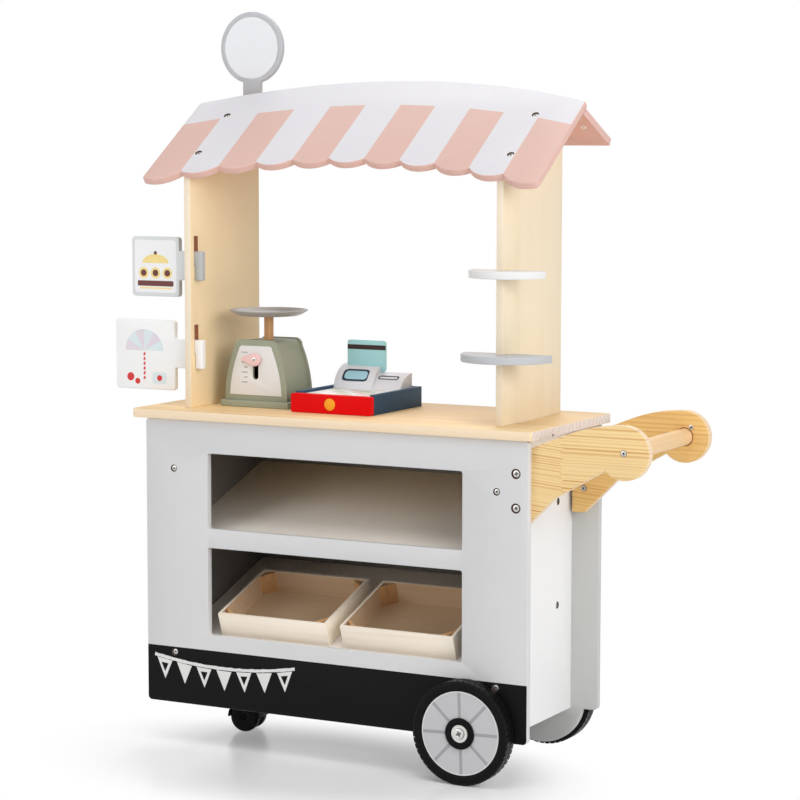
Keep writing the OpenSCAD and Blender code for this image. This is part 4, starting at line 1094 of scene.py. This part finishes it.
def makeAxleBolts():
    bm = bmesh.new()
    for face, side in screwSpots["faces"]:
        turn = onAxle(face, -90 * side)
        revolve(bm, inMetres(axleBolt["outline"]), turn, axleBolt["steps"])
        # The groove takes the darker steel, as painted shade
        revolve(bm, inMetres(axleBolt["groove"]), turn, axleBolt["steps"], 2)
        spot = at(wheel["axle"][0], face + side * axleBolt["top"], wheel["axle"][1])
        addScrew(bm, spot, Vector((0, side, 0)), axleBolt["head"], axleBolt["length"])
    standIn("axleBoltHeads", bm, "axle_bolts", screwSteel)


makeAxleBolts()
print("screws turned in")


# Caster

dress("caster_axle", blackPlastic)
softBoard("caster_hood", blackPlastic, 0.0008, 2, 0.002)
softBoard("caster_wheels", blackPlastic, 0.0006, 2, 0.002)


# Crates of thin plywood

# inside darkens the crate's inner faces as painted shade
crateLook = {"pale": srgb(255, 244, 228), "dark": srgb(242, 216, 182), "spacing": 12, "length": 260,
             "lines": 0.3, "fibres": 0.35, "sheen": 0.65, "inside": (0.66, 0.52, 0.39, 1), "slope": 19.3,
             "rim": 0.03, "middles": {"left": 234.5, "right": 465}}
cornerLook = {"pale": srgb(214, 166, 116), "dark": srgb(178, 126, 78), "spacing": 6, "length": 120,
              "lines": 0.5, "fibres": 0.4, "sheen": 0.65}
cornerWood = woodMaterial("crateCornerWood", cornerLook, "Z")


# Painted shade: darker and browner on the faces that look into the crate
def crateInsideShade(side):
    low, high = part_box(side + "_crate")
    c, s = cosSin(crateLook["slope"])

    def finish(tree, color):
        spot, normal = place(tree), facing(tree)

        def toMiddle(axis, middle):
            way = calc(tree, "SIGN", minus(tree, middle, spot[axis]))
            return above(tree, times(tree, way, normal[axis]), faceOn)

        middle = at(crateLook["middles"][side], 0, 0).x
        walls = most(tree, toMiddle("X", middle), toMiddle("Y", (low.y + high.y) / 2))
        height = minus(tree, times(tree, spot["Z"], c), times(tree, spot["Y"], s))
        under = below(tree, height, high.z * c - high.y * s - crateLook["rim"])
        inside = most(tree, walls, times(tree, above(tree, normal["Z"], faceOn), under))
        return mixColor(tree, inside, color, mixColor(tree, 1.0, color, crateLook["inside"], "MULTIPLY"))
    return finish


for side in ("left", "right"):
    crateWood = woodMaterial(side + "CrateWood", crateLook, "X", finish=crateInsideShade(side))
    softBoard(side + "_crate", crateWood, 0.0005)
    softBoard(side + "_crate_corners", cornerWood, 0.0004)
print("crates made")


# Kitchen scale

scaleLook = {"sage": srgb(157, 161, 141), "dial": srgb(230, 229, 228), "pointer": srgb(240, 202, 200),
             "pan": srgb(163, 161, 160), "mark": srgb(150, 146, 140), "middle": 151.9, "axis": 144,
             "panFoot": 712, "dialFace": 100, "marks": 7, "markRight": 136.4, "markTop": 652.4,
             "markStep": 8.3, "markLengths": (11.4, 6.6), "markHalf": 0.7, "screw": (151.9, 94.7, 641),
             "screwHead": 3.4, "screwLength": 12, "round": 0.0014, "shellRound": 0.0006, "dialRound": 0.0003,
             "pointerRound": 0.0012, "plungerRound": 0.0008}
sagePaint = paintedMaterial("sagePaint", scaleLook["sage"], rubAndShine=0.2, mottle=0.04)
for board in ("scale_base", "scale_front", "scale_back"):
    softBoard(board, sagePaint, scaleLook["round"], 3)
softBoard("scale_shell", sagePaint, scaleLook["shellRound"])
dialPrint = printMaterial("dialPrint", scaleLook["dial"], mottle=0.02)
pointerPaint = paintedMaterial("pointerPaint", scaleLook["pointer"], rubAndShine=0.15)
softBoard("scale_dial", dialPrint, scaleLook["dialRound"])
softBoard("scale_pointer", pointerPaint, scaleLook["pointerRound"], 3)
plungerLook = {"pale": srgb(222, 170, 118), "dark": srgb(190, 134, 86), "spacing": 4, "length": 120,
               "lines": 0.5, "fibres": 0.4}
softBoard("scale_plunger", woodMaterial("plungerWood", plungerLook, "Z"), scaleLook["plungerRound"])


def makeMarks():
    marks, right, half = [], scaleLook["markRight"], scaleLook["markHalf"]
    for i in range(scaleLook["marks"]):
        length, z = scaleLook["markLengths"][i % 2], scaleLook["markTop"] - scaleLook["markStep"] * i
        marks.append((roundedRect(right - length, z - half, right, z + half, 0.3, 2), 0, 1))
    markInk = printMaterial("dialMarkInk", scaleLook["mark"])
    printShapes("dialMarks", frontFace(scaleLook["dialFace"]), marks, [markInk], "scale")


def makePointerScrew():
    bm = bmesh.new()
    spot, ahead = at(*scaleLook["screw"]), Vector((0, -1, 0))
    addScrew(bm, spot, ahead, scaleLook["screwHead"], scaleLook["screwLength"])
    standIn("pointerScrewHead", bm, "scale_pointer_screw", screwSteel)


# A turned dish with a rounded rim
panLook = {"steps": 96,
           "outline": [(0.05, 0.0), (46, 0.0), (50, 0.4), (56, 2.6), (61, 5.6), (64.4, 7.6), (65.7, 8.4),
                       (66, 9.2), (65.5, 9.9), (64.4, 10.1), (63, 9.6), (60, 7.8), (55, 4.9), (50, 2.7),
                       (46, 2.1), (0.05, 2.0)]}


def makePan():
    spot = Matrix.Translation(at(scaleLook["middle"], scaleLook["axis"], scaleLook["panFoot"]))
    bm = bmesh.new()
    revolve(bm, inMetres(panLook["outline"]), spot, panLook["steps"])
    panPaint = paintedMaterial("panPaint", scaleLook["pan"], sheen=0.32, rubAndShine=0.1)
    standIn("scalePanDish", bm, "scale_pan", [panPaint], 50)


makeMarks()
makePointerScrew()


makePan()


# Coil spring under the plunger
spring = {"radius": 9, "wire": 1.1, "turns": 6, "low": 572, "high": 625, "press": 28.6, "sides": 10,
          "steps": 24}


def makeSpring():
    bm = bmesh.new()
    sides, steps, wire = spring["sides"], spring["steps"] * spring["turns"], spring["wire"]
    tall = spring["high"] - spring["low"]
    rows = []
    for i in range(steps + 1):
        a = 2 * math.pi * spring["turns"] * i / steps
        row = []
        for c, s in circle(sides):
            r = spring["radius"] + wire * c
            z = spring["low"] + wire * (1 + s) + (tall - 2 * wire) * i / steps
            spot = at(scaleLook["middle"] + r * math.cos(a), scaleLook["axis"] + r * math.sin(a), z)
            row.append(bm.verts.new(spot))
        rows.append(row)
    addSkin(bm, rows)
    bm.faces.new(rows[0])
    bm.faces.new(rows[-1][::-1])
    coil = standIn("scaleSpringCoil", bm, "scale_spring", [steel], 50)
    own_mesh(coil)


makeSpring()
print("scale made")


# Cash register

register = {"red": srgb(228, 14, 18), "blue": srgb(44, 72, 98), "deck": srgb(248, 247, 244),
            "housing": srgb(240, 243, 249), "screen": srgb(178, 226, 242), "navy": srgb(54, 70, 88),
            "card": srgb(178, 234, 238), "stripe": srgb(62, 44, 42), "dot": srgb(246, 168, 40),
            "paper": srgb(242, 242, 240), "blueWearAndHighlight": srgb(110, 138, 160), "redWearAndHighlight": srgb(236, 70, 62),
            "deckTop": 589.5, "housingY": 194.7, "depth": 47, "high": 40, "low": 27, "cornerShare": 0.12,
            "setback": 1.5, "cardGap": 0.15, "cardShare": 0.7, "cardHalf": 1.5,
            "stripeBox": (257.5, 654.3, 330, 662.1)}
# Lighter blue and red along the edges: partly rubbed paint, partly a painted highlight
registerBlue = paintedMaterial("registerBlue", register["blue"], rubAndShine=0.18, wearAndHighlightColor=register["blueWearAndHighlight"])
registerRed = paintedMaterial("registerRed", register["red"], gloss=0.05, rubAndShine=0.05,
                              wearAndHighlightColor=register["redWearAndHighlight"])
softBoard("register_case", registerBlue, 0.001, 3)
softBoard("register_drawer", registerRed, 0.0007, 3)
softBoard("drawer_knob", printMaterial("knobOrange", register["dot"]), 0.0005, 2, 0.001)
dress("register_deck", printMaterial("deckPrint", register["deck"]))
softBoard("register_housing", paintedMaterial("housingPaint", register["housing"], rubAndShine=0.15), 0.001, 3)
softBoard("bank_card", paintedMaterial("cardPrint", register["card"], rubAndShine=0.1, sheen=0.35), 0.0006)


def housingPoint(tall, setback):
    run = register["depth"] - setback
    r = (run * run + tall * tall) / (2 * tall)

    def spot(u, v, lift):    # v is the share of the way up the curved front
        z = tall * v
        rise = r - tall + z
        out = math.sqrt(max(r * r - rise * rise, 0))
        normal = Vector((0, -out / r, rise / r))
        p = at(u, register["housingY"] + register["depth"] - out, register["deckTop"] + z)
        return p + normal * lift / 1000
    return spot


# A rounded patch that follows the curved front, in rows from bottom to top
def curvedPatch(bm, spot, x0, x1, v0, v1, corner, index, level, rows):
    low, high = [], []
    for i in range(rows + 1):
        t = i / rows
        edge = min(t, 1 - t) * (v1 - v0)
        inset = 1 - min(edge / register["cornerShare"], 1)
        tuck = corner * (1 - math.sqrt(max(1 - inset ** 2, 0)))
        v = v0 + (v1 - v0) * t
        row = [x0 + tuck, x0 + (x1 - x0) / 2, x1 - tuck]
        low.append([bm.verts.new(spot(x, v, printed["sunk"])) for x in row])
        high.append([bm.verts.new(spot(x, v, printed["layer"] * level)) for x in row])
    faces = []
    for i in range(rows):
        for k in range(2):
            faces.append(bm.faces.new((high[i][k], high[i][k + 1], high[i + 1][k + 1], high[i + 1][k])))
            faces.append(bm.faces.new((low[i][k + 1], low[i][k], low[i + 1][k], low[i + 1][k + 1])))
        faces.append(bm.faces.new((low[i][0], high[i][0], high[i + 1][0], low[i + 1][0])))
        faces.append(bm.faces.new((high[i][2], low[i][2], low[i + 1][2], high[i + 1][2])))
    for k in range(2):
        faces.append(bm.faces.new((low[0][k], low[0][k + 1], high[0][k + 1], high[0][k])))
        faces.append(bm.faces.new((high[rows][k], high[rows][k + 1], low[rows][k + 1], low[rows][k])))
    for f in faces:
        f.material_index = index


# Left, right, low and high share, corner, ink, layer and rows of each patch
highPatches = ((260, 308.6, 0.33, 0.80, 7, 0, 1, 18), (264, 306.5, 0.41, 0.73, 6, 1, 2, 18))
lowPatches = ((322.5, 361, 0.637, 0.84, 3, 0, 1, 8), (324.5, 359, 0.685, 0.78, 2, 2, 2, 8))
keyLook = {"green": srgb(214, 222, 202), "white": srgb(247, 247, 246), "pink": srgb(236, 214, 210),
           "rows": 4, "columns": 6, "order": (0, 1, 1, 0, 1, 2), "spot": (254, 96), "step": (19.6, 23),
           "size": (16, 18), "corner": 2.5, "level": 3}


def makeScreens():
    bm = bmesh.new()
    for tall, setback, patches in ((register["high"], 0, highPatches),
                                   (register["low"], register["setback"], lowPatches)):
        spot = housingPoint(tall, setback)
        for patch in patches:
            curvedPatch(bm, spot, *patch)
    screenInks = [printMaterial("navyInk", register["navy"]),
                  printMaterial("screenBlue", register["screen"], sheen=0.25),
                  printMaterial("paperWhite", register["paper"])]
    addObject("registerScreen", finishMesh(bm, "registerScreen"), "register", screenInks)


def makeStripe():
    slotAt = register["housingY"] + register["cardGap"] + register["cardShare"] * register["depth"]
    stripe = [(roundedRect(*register["stripeBox"], 0.4, 2), 0, 1)]
    stripeInk = printMaterial("cardStripeInk", register["stripe"])
    front = frontFace(slotAt - register["cardHalf"])
    printShapes("cardStripe", front, stripe, [stripeInk], "card")


def makeKeys():
    keyInks = [printMaterial("key" + name.capitalize(), keyLook[name]) for name in ("green", "white", "pink")]
    (left, front), (across, back), (wide, deep) = keyLook["spot"], keyLook["step"], keyLook["size"]
    keys = []
    for row in range(keyLook["rows"]):
        for col in range(keyLook["columns"]):
            u, v = left + col * across, front + row * back
            key = roundedRect(u, v, u + wide, v + deep, keyLook["corner"], 3)
            keys.append((key, keyLook["order"][(row + col) % 6], keyLook["level"]))
    printShapes("registerKeys", lambda u, v, lift: at(u, v, register["deckTop"] + lift), keys, keyInks,
                "register")


makeScreens()
makeStripe()
makeKeys()
print("register made")


# Light, floor and background

light = {"world": 0.3, "aim": (0, 0, 0.5), "size": 2.4}
lamps = {"sideLamp": ((3.9, -0.9, 1.9), 47), "keyLamp": ((3.4, -2.1, 1.9), 40),
         "overLamp": ((0.3, -1.4, 4.0), 46), "fillLamp": ((-2.4, -3.4, 1.5), 38),
         "backLamp": ((-0.9, 2.7, 3.5), 52)}
studioFloorLook = {"pale": (0.94, 0.94, 0.945, 1), "mottle": 0.004, "rough": 0.22, "gloss": 0.4, "reach": 9,
                   "middle": (330, -20), "half": (0.43, 0.26), "fade": (0.5, 1.25)}


def makeLamp(name, spot, aim, size, power):
    data = bpy.data.lights.new(name, "AREA")
    data.shape, data.size, data.energy = "DISK", size, power
    lamp = bpy.data.objects.new(name, data)
    bpy.context.scene.collection.objects.link(lamp)
    lamp.location = spot
    lamp.rotation_euler = (Vector(aim) - Vector(spot)).to_track_quat("-Z", "Y").to_euler()


def makeStage():
    world = bpy.data.worlds.new("studio")
    bpy.context.scene.world = world
    world.use_nodes = True
    tree = world.node_tree
    sky = tree.nodes["Background"]
    sky.inputs["Color"].default_value = (1, 1, 1, 1)
    path = addNode(tree, "ShaderNodeLightPath").outputs
    mirrored = most(tree, path["Is Camera Ray"], path["Is Glossy Ray"])
    level = setInputs(tree, addNode(tree, "ShaderNodeMapRange"),
                      {"To Min": light["world"], "Value": most(tree, mirrored, path["Is Transmission Ray"])})
    tree.links.new(level.outputs["Result"], sky.inputs["Strength"])
    for name, (spot, power) in lamps.items():
        makeLamp(name, spot, light["aim"], light["size"], power)
    mesh = bpy.data.meshes.new("studioFloor")
    r = studioFloorLook["reach"]
    mesh.from_pydata([(-r, -r, 0), (r, -r, 0), (r, r, 0), (-r, r, 0)], [], [(0, 1, 2, 3)])
    floor = bpy.data.objects.new("studioFloor", mesh)
    bpy.context.scene.collection.objects.link(floor)
    m, tree, shader = newMaterial("paleFloor")
    coat = useGroup(tree, satinPaint, Color=studioFloorLook["pale"], Mottle=studioFloorLook["mottle"])
    setInputs(tree, shader, {"Base Color": coat["Color"], "Roughness": studioFloorLook["rough"],
                             "Specular IOR Level": studioFloorLook["gloss"]})
    glow = addNode(tree, "ShaderNodeEmission", Strength=1.0)
    spot, middle = place(tree), at(*studioFloorLook["middle"], 0)
    u = calc(tree, "DIVIDE", minus(tree, spot["X"], middle.x), studioFloorLook["half"][0])
    v = calc(tree, "DIVIDE", minus(tree, spot["Y"], middle.y), studioFloorLook["half"][1])
    fade = spread(tree, calc(tree, "SQRT", squares(tree, u, v)), *studioFloorLook["fade"])
    path = addNode(tree, "ShaderNodeLightPath").outputs
    seen = most(tree, path["Is Camera Ray"], path["Is Glossy Ray"])
    blend = addNode(tree, "ShaderNodeMixShader")
    tree.links.new(times(tree, fade, seen), blend.inputs[0])
    tree.links.new(shader.outputs[0], blend.inputs[1])
    tree.links.new(glow.outputs[0], blend.inputs[2])
    tree.links.new(blend.outputs[0], tree.nodes["Material Output"].inputs["Surface"])
    mesh.materials.append(m)
    bpy.context.scene.view_settings.view_transform = "Standard"


makeStage()
print("studio lit")
